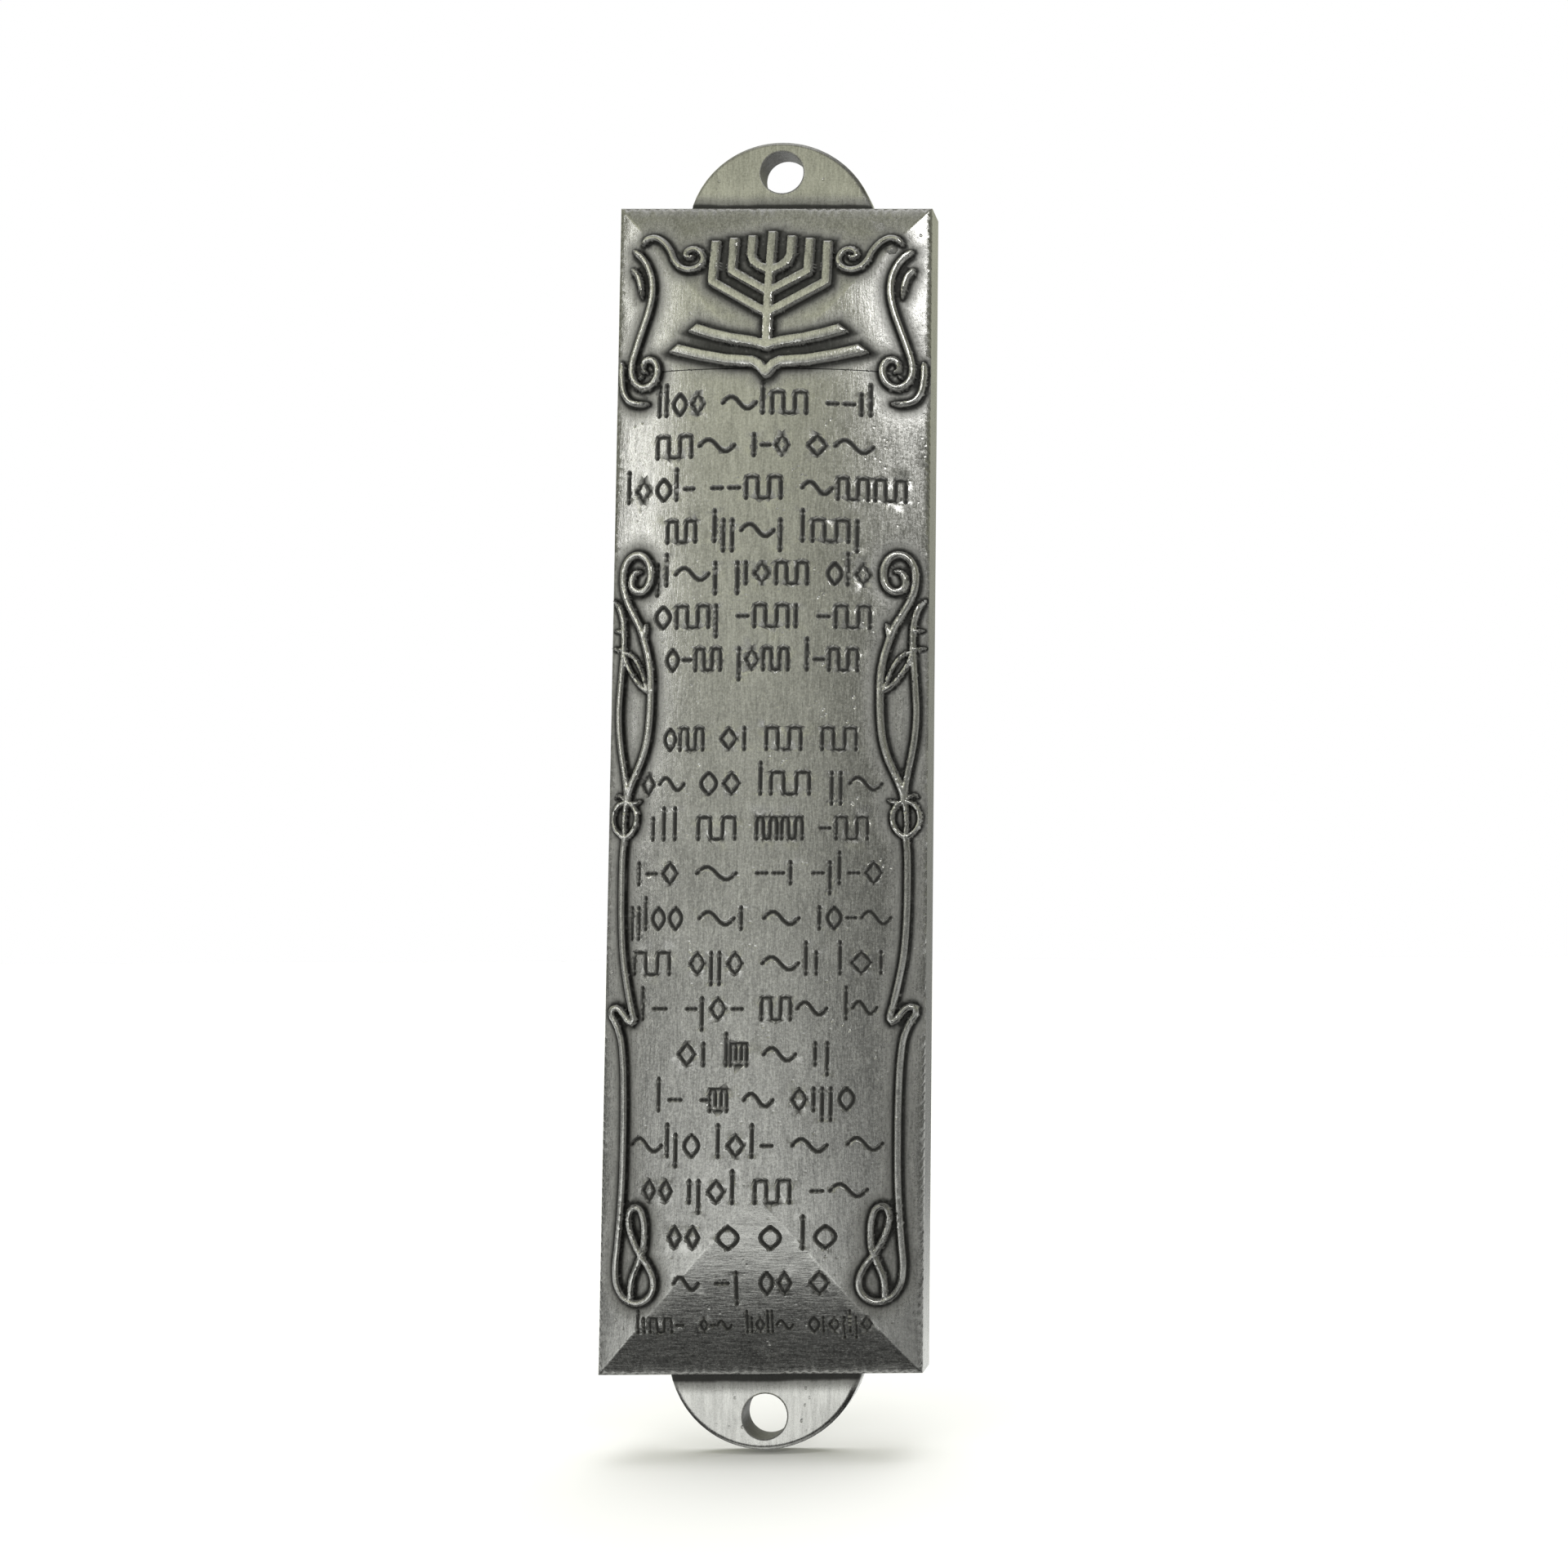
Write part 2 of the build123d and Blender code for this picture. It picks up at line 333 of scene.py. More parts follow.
def wave(length, periods):
    """Outline of a sine wave about half height."""
    along = np.linspace(0, length, 10 * periods + 1)
    return tuple((u, 0.5 + 0.3 * math.sin(2 * math.pi * periods * u / length)) for u in along)


def leaf(width):
    """Outline of an upright leaf: a half sine wave on each side that meet at its tips."""
    up = np.linspace(0, 1, 9)
    bulge = width / 2 * np.sin(np.pi * up)
    right = tuple(zip(width / 2 + bulge, up))
    left = tuple(zip(width / 2 - bulge, up))
    return right + left[::-1]


# Plain marks in units of the mark size: the outline, and how far on the next one stands.
PLAIN_MARKS = (
    (((0, 0), (0, 1)), 0.42),
    (((0, 0), (0, 1.45)), 0.42),
    (((0, 0.5), (0.36, 1), (0.72, 0.5), (0.36, 0), (0, 0.5)), 1.08),
    (wave(1.5, 1), 1.8),
    (leaf(0.7), 1.02),
    (((0, 0.5), (0.45, 0.5)), 0.76),
    (((0, 1), (0, -0.45)), 0.42),
    (((0, 0), (0, 1), (0.5, 1), (0.5, 0), (1.0, 0), (1.0, 1), (1.5, 1), (1.5, 0)), 1.86),
)


def word_marks(rng, left, right, base, row):
    """Plain marks side by side that fill the stretch from left to right."""
    chosen = []
    length = 0.0
    while length < (right - left) / row["size"] - 0.4:
        chosen.append(PLAIN_MARKS[rng.integers(len(PLAIN_MARKS))])
        length += chosen[-1][1]
    stretch = (right - left) / length
    strokes = []
    place = left
    for outline, advance in chosen:
        points = tuple((place + u * stretch, base + v * row["size"]) for u, v in outline)
        strokes.append(mark(points, row["width"]))
        place += advance * stretch
    return strokes


def engraved_strokes():
    """All rows of marks, each split into words of uneven length, and the score line under the book."""
    rng = np.random.default_rng(MARK_SEED)
    strokes = [SCORE_LINE]
    for rows in (UPPER_ROWS, LOWER_ROWS, LAST_ROW):
        for number, reach in enumerate(rows["reach"]):
            shares = rng.uniform(0.6, 1.4, rows["words"])
            lengths = shares / shares.sum() * (2 * reach - WORD_GAP * (rows["words"] - 1))
            starts = np.cumsum(lengths + WORD_GAP) - lengths - WORD_GAP - reach
            base = rows["top"] - number * rows["pitch"] - rows["size"] / 2
            for start, length in zip(starts, lengths):
                strokes += word_marks(rng, start, start + length, base, rows)
    return strokes


# ---------------------------------------------------------------- paths and distances


def stroke_path(stroke, step):
    """Even points along a stroke, in millimetres.

    A straight stroke keeps its corners. A smooth one is a cubic Hermite curve through its points: the
    parameter grows with the square root of each chord, and the slope at a point is that of the chord
    between its two neighbours.
    """
    knots = np.array(stroke.points, float)
    chords = np.linalg.norm(np.diff(knots, axis=0), axis=1)
    if not stroke.smooth:
        counts = np.maximum(1, np.ceil(chords / step).astype(int))
        runs = [np.linspace(a, b, n, endpoint=False) for a, b, n in zip(knots[:-1], knots[1:], counts)]
        return np.concatenate(runs + [knots[-1:]])
    times = np.concatenate([[0], np.cumsum(np.sqrt(chords))])
    if len(knots) > 2:
        slopes = np.gradient(knots, times, axis=0)
    else:
        slopes = np.tile((knots[1] - knots[0]) / times[1], (2, 1))
    fine = np.linspace(0, times[-1], int(chords.sum() / step * 4) + 8)
    piece = np.clip(np.searchsorted(times, fine, side="right") - 1, 0, len(knots) - 2)
    span = (times[piece + 1] - times[piece])[:, None]
    t = (fine - times[piece])[:, None] / span
    curve = (
        (2 * t**3 - 3 * t**2 + 1) * knots[piece]
        + (t**3 - 2 * t**2 + t) * span * slopes[piece]
        + (3 * t**2 - 2 * t**3) * knots[piece + 1]
        + (t**3 - t**2) * span * slopes[piece + 1]
    )
    run = np.concatenate([[0], np.cumsum(np.linalg.norm(np.diff(curve, axis=0), axis=1))])
    even = np.linspace(0, run[-1], max(3, int(run[-1] / step) + 1))
    return np.stack([np.interp(even, run, curve[:, axis]) for axis in (0, 1)], axis=1)


RING = np.arange(8) / 8 * 2 * math.pi


def beside_path(path, distances):
    """Points at the distances to both sides of a path, along its normals, and round its two ends."""
    tangent = np.gradient(path, axis=0)
    tangent /= np.linalg.norm(tangent, axis=1, keepdims=True) + 1e-12
    normal = np.stack([-tangent[:, 1], tangent[:, 0]], axis=1)
    rows = [path + side * d * normal for d in distances for side in (1, -1)]
    ring = np.stack([np.cos(RING), np.sin(RING)], axis=1)
    rows += [end + d * ring for d in distances for end in (path[0], path[-1])]
    return np.concatenate([path] + rows)


CUT_ROWS = (-0.1, 0.0, 0.06, 0.12, 0.25)


def beside_cut(cut, half):
    """Rows of points along a cut end, before and behind its edge."""
    across = np.array([-cut[3], cut[2]])
    along = np.linspace(-1.4, 1.4, 15)[:, None] * half * across
    return np.concatenate([cut[:2] + along + step * np.array(cut[2:]) for step in CUT_ROWS])


def nearest_on_path(points, path):
    """Distance of each point to a polyline, and the arc length at which the nearest place lies."""
    start, chord = path[:-1], np.diff(path, axis=0)
    squared = np.maximum((chord**2).sum(axis=1), 1e-12)
    from_start = points[:, None] - start
    t = np.clip((from_start * chord).sum(axis=2) / squared, 0, 1)
    gaps = np.linalg.norm(from_start - t[..., None] * chord, axis=2)
    index = gaps.argmin(axis=1)
    pick = np.arange(len(points))
    lengths = np.sqrt(squared)
    run = np.concatenate([[0], np.cumsum(lengths)[:-1]])
    return gaps[pick, index], run[index] + t[pick, index] * lengths[index]


def near_stroke(points, path, reach):
    """Indices of the points in a stroke's box, widened by reach."""
    low, high = path.min(axis=0) - reach, path.max(axis=0) + reach
    return np.flatnonzero(((points > low) & (points < high)).all(axis=1))


def half_width_along(stroke, run, total):
    """Half the stroke's width at an arc length: it narrows to a fifth over its two tapers."""
    width = np.ones_like(run)
    for taper, distance in zip(stroke.tapers, (run, total - run)):
        if taper > 0:
            width = np.minimum(width, 0.2 + 0.8 * np.sqrt(np.clip(distance / taper, 0, 1)))
    return width * stroke.width / 2


def fade(value):
    """1 at zero and below, 0 at one and above, smooth in between."""
    t = np.clip(value, 0, 1)
    return 1 - t * t * (3 - 2 * t)


# ---------------------------------------------------------------- the front as a surface


def arc_drop(reach, radius):
    """How far an arc of that radius falls at a distance from its top."""
    return radius - np.sqrt(radius**2 - reach**2)


class Vault:
    """The plain front: the lower of an arc across the width and an arc at each end, crossing in creases."""

    def __init__(self, settings):
        self.rise = settings.crown_rise / MM
        self.slope = settings.end_slope / MM
        self.across = (CASE.half_width**2 + self.rise**2) / (2 * self.rise)
        self.along = (self.slope**2 + self.rise**2) / (2 * self.rise)
        self.flat_half = CASE.half_height - self.slope

    def drops(self, x, z):
        """How far the arc across the width and the arc at the nearer end have fallen."""
        side = np.clip(np.abs(x), 0, CASE.half_width)
        past = np.clip(np.abs(z) - self.flat_half, 0, self.slope)
        return arc_drop(side, self.across), arc_drop(past, self.along)

    def height(self, x, z):
        """Height above the rim plane in millimetres."""
        return self.rise - np.maximum(*self.drops(x, z))

    def on_end(self, x, z):
        """1 on the sloping ends, 0 on the long arc."""
        sideways, endways = self.drops(x, z)
        return (endways > sideways).astype(float)

    def crease_paths(self, step):
        """The four creases as paths, where both arcs have fallen by the same amount."""
        x = np.arange(step, CASE.half_width - step, step)
        drop = arc_drop(x, self.across)
        z = self.flat_half + np.sqrt(self.along**2 - (self.along - drop) ** 2)
        return [np.stack([a * x, b * z], axis=1) for a in (1, -1) for b in (1, -1)]

    def crease_highlight(self, x, z):
        """Mask of the painted highlight along the creases: 1 on a crease, 0 from a few hundredths of a
        millimetre of difference between the arcs.
        """
        sideways, endways = self.drops(x, z)
        sharp = np.abs(z) > self.flat_half + CREASE_START
        return fade(np.abs(endways - sideways) / CREASE_REACH) * sharp


# Roundings, recesses and wear in millimetres. The soft dark share and the polish shares are of the full
# effect:
# the soft dark round the relief is painted shade beyond its patina, the rim's polish is wear, and the
# crease and lip polishes are painted highlights. The patina fades off a stroke's top from CLEAN_FROM of its
# height over CLEAN_OVER.
RIM_ROUND = 0.2
MOAT = 0.08
CUT_ROUND = 0.12
CORE_DIRT = 0.14
# painted shade: share of the soft dark spread round the relief, beyond its patina
SOFT_PATINA_AND_SHADE = 0.55
SOFT_REACH = 1.5
RIM_WEAR = 0.25
LIP_WIDTH = 0.06
CREASE_REACH = 0.06
CREASE_START = 4.0
CLEAN_FROM = 0.45
CLEAN_OVER = 0.4
RIM_POLISH = 0.7
# painted highlights: bright lines along the creases and on the lips of the marks
CREASE_HIGHLIGHT = 0.5
LIP_HIGHLIGHT = 0.6

# Casting nodules: place, radius and height.
NODULES = ((10.9, 48.55, 0.42, 0.38), (9.7, 50.35, 0.5, 0.12), (-11.3, 35.1, 0.3, 0.25))


def raised_fields(points, relief, raised):
    """Rise, patina with painted soft shade, and polish that the raised strokes and the nodules give at the
    points.

    A stroke's section is the root of 1 - u**flatness, with u the distance over the half width. The
    patina fades with the distance from its foot, a softer painted shade spreads further out, and the polish
    follows its top.
    """
    rise = np.zeros(len(points))
    patina_and_shade = np.zeros(len(points))
    polish = np.zeros(len(points))
    for stroke, path in raised:
        near = near_stroke(points, path, stroke.width / 2 + SOFT_REACH)
        distance, run = nearest_on_path(points[near], path)
        half = half_width_along(stroke, run, np.linalg.norm(np.diff(path, axis=0), axis=1).sum())
        u = distance / half
        if stroke.cut:
            beyond = (points[near] - stroke.cut[:2]) @ np.array(stroke.cut[2:])
            u = np.maximum(u, 1 + (beyond - CUT_ROUND) / half)
        section = np.sqrt(np.clip(1 - u**stroke.flatness, 0, 1))
        rise[near] = np.maximum(rise[near], section * relief)
        off = (u - 1) * half - CORE_DIRT
        # patina at the stroke's foot, and a softer painted shade that spreads further out
        darkening = np.maximum(fade(off / stroke.halo), SOFT_PATINA_AND_SHADE * fade(off / SOFT_REACH))
        patina_and_shade[near] = np.maximum(patina_and_shade[near], darkening)
        polish[near] = np.maximum(polish[near], section)
    for cx, cz, radius, height in NODULES:
        distance = np.hypot(points[:, 0] - cx, points[:, 1] - cz) / radius
        rise = np.maximum(rise, height * np.sqrt(np.clip(1 - distance**2, 0, 1)))
    return rise, patina_and_shade, polish


def sunk_fields(points, engraved):
    """How deep the marks are, from 0 to 1, and the mask of the painted highlight on the lips beside them.
    """
    sunk = np.zeros(len(points))
    lip_highlight = np.zeros(len(points))
    for stroke, path in engraved:
        near = near_stroke(points, path, stroke.width / 2 + LIP_WIDTH)
        distance, _ = nearest_on_path(points[near], path)
        half = stroke.width / 2
        section = np.clip(1 - (distance / half) ** stroke.flatness, 0, 1)
        sunk[near] = np.maximum(sunk[near], section)
        lip_highlight[near] = np.maximum(lip_highlight[near], fade(np.abs(distance - half) / LIP_WIDTH))
    return sunk, lip_highlight


def front_fields(points, vault, settings, raised, engraved):
    """Height of the front at (x, z) points, vault plus relief less marks, and its four masks.

    The masks are patina with a soft painted shade round the relief, polish with painted highlights along
    the creases and beside the marks, ink, and the sloping ends. Neither patina nor marks lie on the tops.
    """
    x, z = points.T
    rise, patina_and_shade, polish = raised_fields(points, settings.relief_height / MM, raised)
    sunk, lip_highlight = sunk_fields(points, engraved)
    edge = np.minimum(CASE.half_width - np.abs(x), CASE.half_height - np.abs(z))
    round_off = np.sqrt(np.clip(1 - (1 - edge / RIM_ROUND).clip(0, 1) ** 2, 0, 1))
    open_face = fade((polish - CLEAN_FROM) / CLEAN_OVER)
    sunk[rise > 0] = 0
    height = vault.height(x, z) + RIM_ROUND * (round_off - 1) + rise * round_off
    height -= sunk * settings.mark_depth / MM + MOAT * patina_and_shade * open_face
    # polish of the rim's wear, and painted highlights along the creases and on the lips of the marks
    wear_and_highlight = np.maximum(RIM_POLISH * fade(edge / RIM_WEAR), CREASE_HIGHLIGHT * vault.crease_highlight(x, z))
    wear_and_highlight = np.maximum(wear_and_highlight, LIP_HIGHLIGHT * lip_highlight * (sunk < 0.05) * (patina_and_shade < 0.2))
    finish_and_painted_light = np.stack([patina_and_shade * open_face, np.maximum(polish, wear_and_highlight), sunk, vault.on_end(x, z)], axis=1)
    return height, finish_and_painted_light


# Distances between points in millimetres. MARK_STEP is in widths of the mark, SECTION_ROWS and MARK_ROW
# are in half widths.
RAISED_STEP = 0.3
MARK_STEP = 1.25
FIELD_STEP = 0.75
CREASE_STEP = 0.3
CREASE_SIDE = 0.12
RIM_INSETS = (0.03, 0.08, 0.14, RIM_ROUND, 0.45)
SECTION_ROWS = (0.45, 0.72, 0.9, 1.0)
MARK_ROW = 0.55
RIM_CLEARANCE = 0.02
MERGE_CELL = 0.04


def front_points(rim, vault, raised, engraved):
    """Points that the front is drawn through: the rim first, then rows beside the rim, the creases and
    every stroke, and an even field where nothing else stands."""
    rows = []
    for inset in RIM_INSETS:
        shrink = 1 - inset / np.array([CASE.half_width, CASE.half_height])
        rows.append(rim * shrink)
    rows += [beside_path(path, [CREASE_SIDE]) for path in vault.crease_paths(CREASE_STEP)]
    for stroke, path in raised:
        half = stroke.width / 2
        inner = [half * u for u in SECTION_ROWS]
        outer = [half + reach for reach in (stroke.halo * 0.3, stroke.halo * 0.8, 1.0)]
        rows.append(beside_path(path, inner + outer))
        if stroke.cut:
            rows.append(beside_cut(stroke.cut, half))
    for stroke, path in engraved:
        half = stroke.width / 2
        lip_rows = [half, half + LIP_WIDTH, half + 2.5 * LIP_WIDTH]
        rows.append(beside_path(path, [half * MARK_ROW] + lip_rows))
    drawn = np.concatenate(rows)
    columns = np.arange(-CASE.half_width, CASE.half_width, FIELD_STEP) + FIELD_STEP / 2
    lines = np.arange(-CASE.half_height, CASE.half_height, FIELD_STEP) + FIELD_STEP / 2
    field = np.stack(np.meshgrid(columns, lines), axis=-1).reshape(-1, 2)
    taken = set(map(tuple, np.floor(drawn / (FIELD_STEP / 2)).astype(int)))
    cells = np.floor(field / (FIELD_STEP / 2)).astype(int)
    free = np.array([tuple(cell) not in taken for cell in cells])
    inside = np.concatenate([drawn, field[free]])
    margin = np.array([CASE.half_width, CASE.half_height]) - np.abs(inside)
    inside = inside[margin.min(axis=1) > RIM_CLEARANCE]
    _, unique = np.unique(np.round(inside / MERGE_CELL).astype(int), axis=0, return_index=True)
    return np.concatenate([rim, inside[np.sort(unique)]])


def front_surface(rim, vault, settings):
    """The front as vertices, triangles and masks, painted shade and highlights among them, and the number
    of each vertex on the rim or -1.

    The drawn points are joined by Delaunay triangles inside the rim, then raised to their height.
    """
    raised = [(s, stroke_path(s, RAISED_STEP)) for s in relief_strokes()]
    engraved = [(s, stroke_path(s, s.width * MARK_STEP)) for s in engraved_strokes()]
    flat = front_points(rim, vault, raised, engraved)
    border = [(i, (i + 1) % len(rim)) for i in range(len(rim))]
    corners, _, triangles, origins, *_ = delaunay_2d_cdt([Vector(p) for p in flat], border, [], 1, 1e-4)
    points = np.array([(c.x, c.y) for c in corners])
    on_rim = np.array([min(given, default=len(rim)) for given in origins])
    on_rim[on_rim >= len(rim)] = -1
    height, finish_and_painted_light = front_fields(points, vault, settings, raised, engraved)
    vertices = np.stack([points[:, 0], -CASE.rim_depth - height, points[:, 1]], axis=1) * MM
    return vertices, np.array(triangles), finish_and_painted_light, on_rim


# ---------------------------------------------------------------- nodes


class Nodes:
    """Adds nodes to a tree. An input is given a number, a colour or another node's socket."""

    def __init__(self, tree):
        self.tree = tree

    def feed(self, socket, value):
        if isinstance(value, bpy.types.NodeSocket):
            self.tree.links.new(value, socket)
        else:
            socket.default_value = value

    def add(self, kind, settings=None, inputs=None):
        node = self.tree.nodes.new(kind)
        for key, value in (settings or {}).items():
            setattr(node, key, value)
        for key, value in (inputs or {}).items():
            self.feed(node.inputs[key], value)
        return node

    def math(self, operation, first, second=0.0, clamp=False):
        settings = {"operation": operation, "use_clamp": clamp}
        return self.add("ShaderNodeMath", settings, {0: first, 1: second}).outputs[0]

    def lack(self, value, amount):
        """The amount where the value is 0, nothing where it is 1."""
        return self.math("MULTIPLY", self.math("SUBTRACT", 1.0, value), amount)

    def ramp(self, value, low, high, start=0.0, end=1.0):
        """The value mapped smoothly from low..high to start..end."""
        inputs = {"Value": value, "From Min": low, "From Max": high, "To Min": start, "To Max": end}
        return self.add("ShaderNodeMapRange", {"interpolation_type": "SMOOTHSTEP"}, inputs).outputs[0]

    def mix(self, factor, first, second):
        """Mixed colours."""
        inputs = {0: factor, 6: first, 7: second}
        return self.add("ShaderNodeMix", {"data_type": "RGBA"}, inputs).outputs[2]

    def blend(self, factor, first, second):
        """Mixed numbers."""
        return self.add("ShaderNodeMix", None, {0: factor, 2: first, 3: second}).outputs[0]

    def axes(self, vector):
        """The outputs X, Y and Z of a vector."""
        return self.add("ShaderNodeSeparateXYZ", None, {"Vector": vector}).outputs

    def noise(self, vector, scale, detail=2.0, roughness=0.5):
        inputs = {"Vector": vector, "Scale": scale, "Detail": detail, "Roughness": roughness}
        return self.add("ShaderNodeTexNoise", None, inputs).outputs["Fac"]


def new_group(name, inputs, outputs):
    """An empty shader group with named sockets: name to socket type."""
    tree = bpy.data.node_groups.new(name, "ShaderNodeTree")
    for label, kind in inputs.items():
        tree.interface.new_socket(label, in_out="INPUT", socket_type=kind)
    for label, kind in outputs.items():
        tree.interface.new_socket(label, in_out="OUTPUT", socket_type=kind)
    nodes = Nodes(tree)
    return nodes, nodes.add("NodeGroupInput").outputs, nodes.add("NodeGroupOutput").inputs


FLOAT, VECTOR, COLOUR = "NodeSocketFloat", "NodeSocketVector", "NodeSocketColor"


def brushed_grain():
    """Group: fine scratches. Two noises on coordinates multiplied by Stretch, large across the grain."""
    nodes, given, out = new_group(
        "brushed_grain", {"Coordinates": VECTOR, "Stretch": VECTOR},
        {"Streaks": FLOAT, "Fine": FLOAT, "Speckle": FLOAT},
    )
    stretched = nodes.add(
        "ShaderNodeVectorMath", {"operation": "MULTIPLY"}, {0: given["Coordinates"], 1: given["Stretch"]}
    ).outputs[0]
    coarse = nodes.noise(stretched, 0.35, 3.0, 0.6)
    fine = nodes.noise(stretched, 1.0, 2.0, 0.7)
    nodes.feed(out["Streaks"], nodes.ramp(coarse, 0.3, 0.7))
    nodes.feed(out["Fine"], nodes.ramp(fine, 0.25, 0.75))
    nodes.feed(out["Speckle"], nodes.ramp(nodes.noise(given["Coordinates"], 5200.0, 2.0, 0.6), 0.3, 0.7))
    return nodes.tree


def casting_skin():
    """Group: sandy cast surface. Lumps are soft noise, pits the small cells of a Voronoi pattern."""
    nodes, given, out = new_group("casting_skin", {"Coordinates": VECTOR}, {"Lumps": FLOAT, "Pits": FLOAT})
    lumps = nodes.noise(given["Coordinates"], 2600.0, 4.0, 0.65)
    cells = nodes.add(
        "ShaderNodeTexVoronoi", None, {"Vector": given["Coordinates"], "Scale": 1500.0}
    ).outputs["Distance"]
    scattered = nodes.noise(given["Coordinates"], 420.0, 2.0)
    small = nodes.ramp(cells, 0.05, 0.28, 1.0, 0.0)
    nodes.feed(out["Lumps"], lumps)
    nodes.feed(out["Pits"], nodes.math("MULTIPLY", small, nodes.ramp(scattered, 0.55, 0.68)))
    return nodes.tree


def new_material(name):
    """A material with its nodes, its Principled BSDF and Object coordinates."""
    material = bpy.data.materials.new(name)
    material.use_nodes = True
    nodes = Nodes(material.node_tree)
    shader = material.node_tree.nodes["Principled BSDF"]
    return material, nodes, shader, nodes.add("ShaderNodeTexCoord").outputs["Object"]


def place_group(nodes, tree, inputs):
    """A group node's outputs."""
    return nodes.add("ShaderNodeGroup", {"node_tree": tree}, inputs).outputs


GRAIN_UP = (8500.0, 8500.0, 1100.0)
GRAIN_ACROSS = (1100.0, 8500.0, 8500.0)


def bump(nodes, height, distance, strength=1.0, under=None):
    """A Bump node's normal for a height in units of distance."""
    inputs = {"Height": height, "Distance": distance, "Strength": strength}
    if under is not None:
        inputs["Normal"] = under
    return nodes.add("ShaderNodeBump", None, inputs).outputs[0]


def distance_to(nodes, first, second):
    """Length of the vector with two components."""
    squares = [nodes.math("MULTIPLY", part, part) for part in (first, second)]
    return nodes.math("SQRT", nodes.math("ADD", *squares))


def shaded(colour, factor):
    """A setting's colour times a factor, as a socket's colour."""
    return tuple(min(1.0, channel * factor) for channel in colour) + (1.0,)


def tab_corner_patina_and_shade(nodes, where, past_end, cloud):
    """Mask: the dark corner where each tab meets the end wall, antiquing plus painted shade under the
    overhanging case, and painted shade on the walls and rims of the screw holes.
    """
    off_tab = nodes.math("ADD", where["Y"], CASE.tab_thickness * MM)
    ragged = nodes.math("MULTIPLY", cloud, 0.5 * MM)
    root = nodes.math("SUBTRACT", distance_to(nodes, past_end, off_tab), ragged)
    core = nodes.ramp(root, 0.6 * MM, 1.15 * MM, 1.0, 0.0)
    corner = nodes.math("MAXIMUM", core, nodes.ramp(root, 0.6 * MM, 2.0 * MM, 0.6, 0.0))
    beside = nodes.ramp(nodes.math("ABSOLUTE", where["X"]), 8.3 * MM, 9.2 * MM, 1.0, 0.0)
    off_axis = nodes.math("SUBTRACT", nodes.math("ABSOLUTE", where["Z"]), CASE.hole_height * MM)
    from_hole = distance_to(nodes, where["X"], off_axis)
    inner, outer = (CASE.hole_radius + 0.02) * MM, (CASE.hole_radius + 0.14) * MM
    bore = nodes.ramp(from_hole, inner, outer, 0.75, 0.0)
    return nodes.math("MAXIMUM", nodes.math("MULTIPLY", corner, beside), bore)


def brushed_film_and_shade(nodes, where, past_end, cloud, polish, lower, lines):
    """Mask: the thin film of antiquing that the brush left, heavier in the scratches and darker on the
    lower sloping end, with painted shade that darkens the body towards its foot.
    """
    film_and_shade = nodes.math("MULTIPLY", nodes.ramp(cloud, 0.3, 0.7, 0.03, 0.12), nodes.lack(polish, 1.0))
    on_body = nodes.math("LESS_THAN", past_end, 0.0)
    # painted shade: darker low on the body, growing towards its foot
    foot_shade = nodes.math("MULTIPLY", nodes.ramp(where["Z"], -0.050, -0.015, 0.16, 0.0), on_body)
    layers = (foot_shade, nodes.math("MULTIPLY", lower, 0.08), nodes.lack(lines["Streaks"], 0.20),
              nodes.lack(lines["Speckle"], 0.26), nodes.lack(lines["Fine"], 0.22))
    for layer in layers:
        film_and_shade = nodes.math("ADD", film_and_shade, layer)
    return nodes.math("MINIMUM", film_and_shade, 1.0)


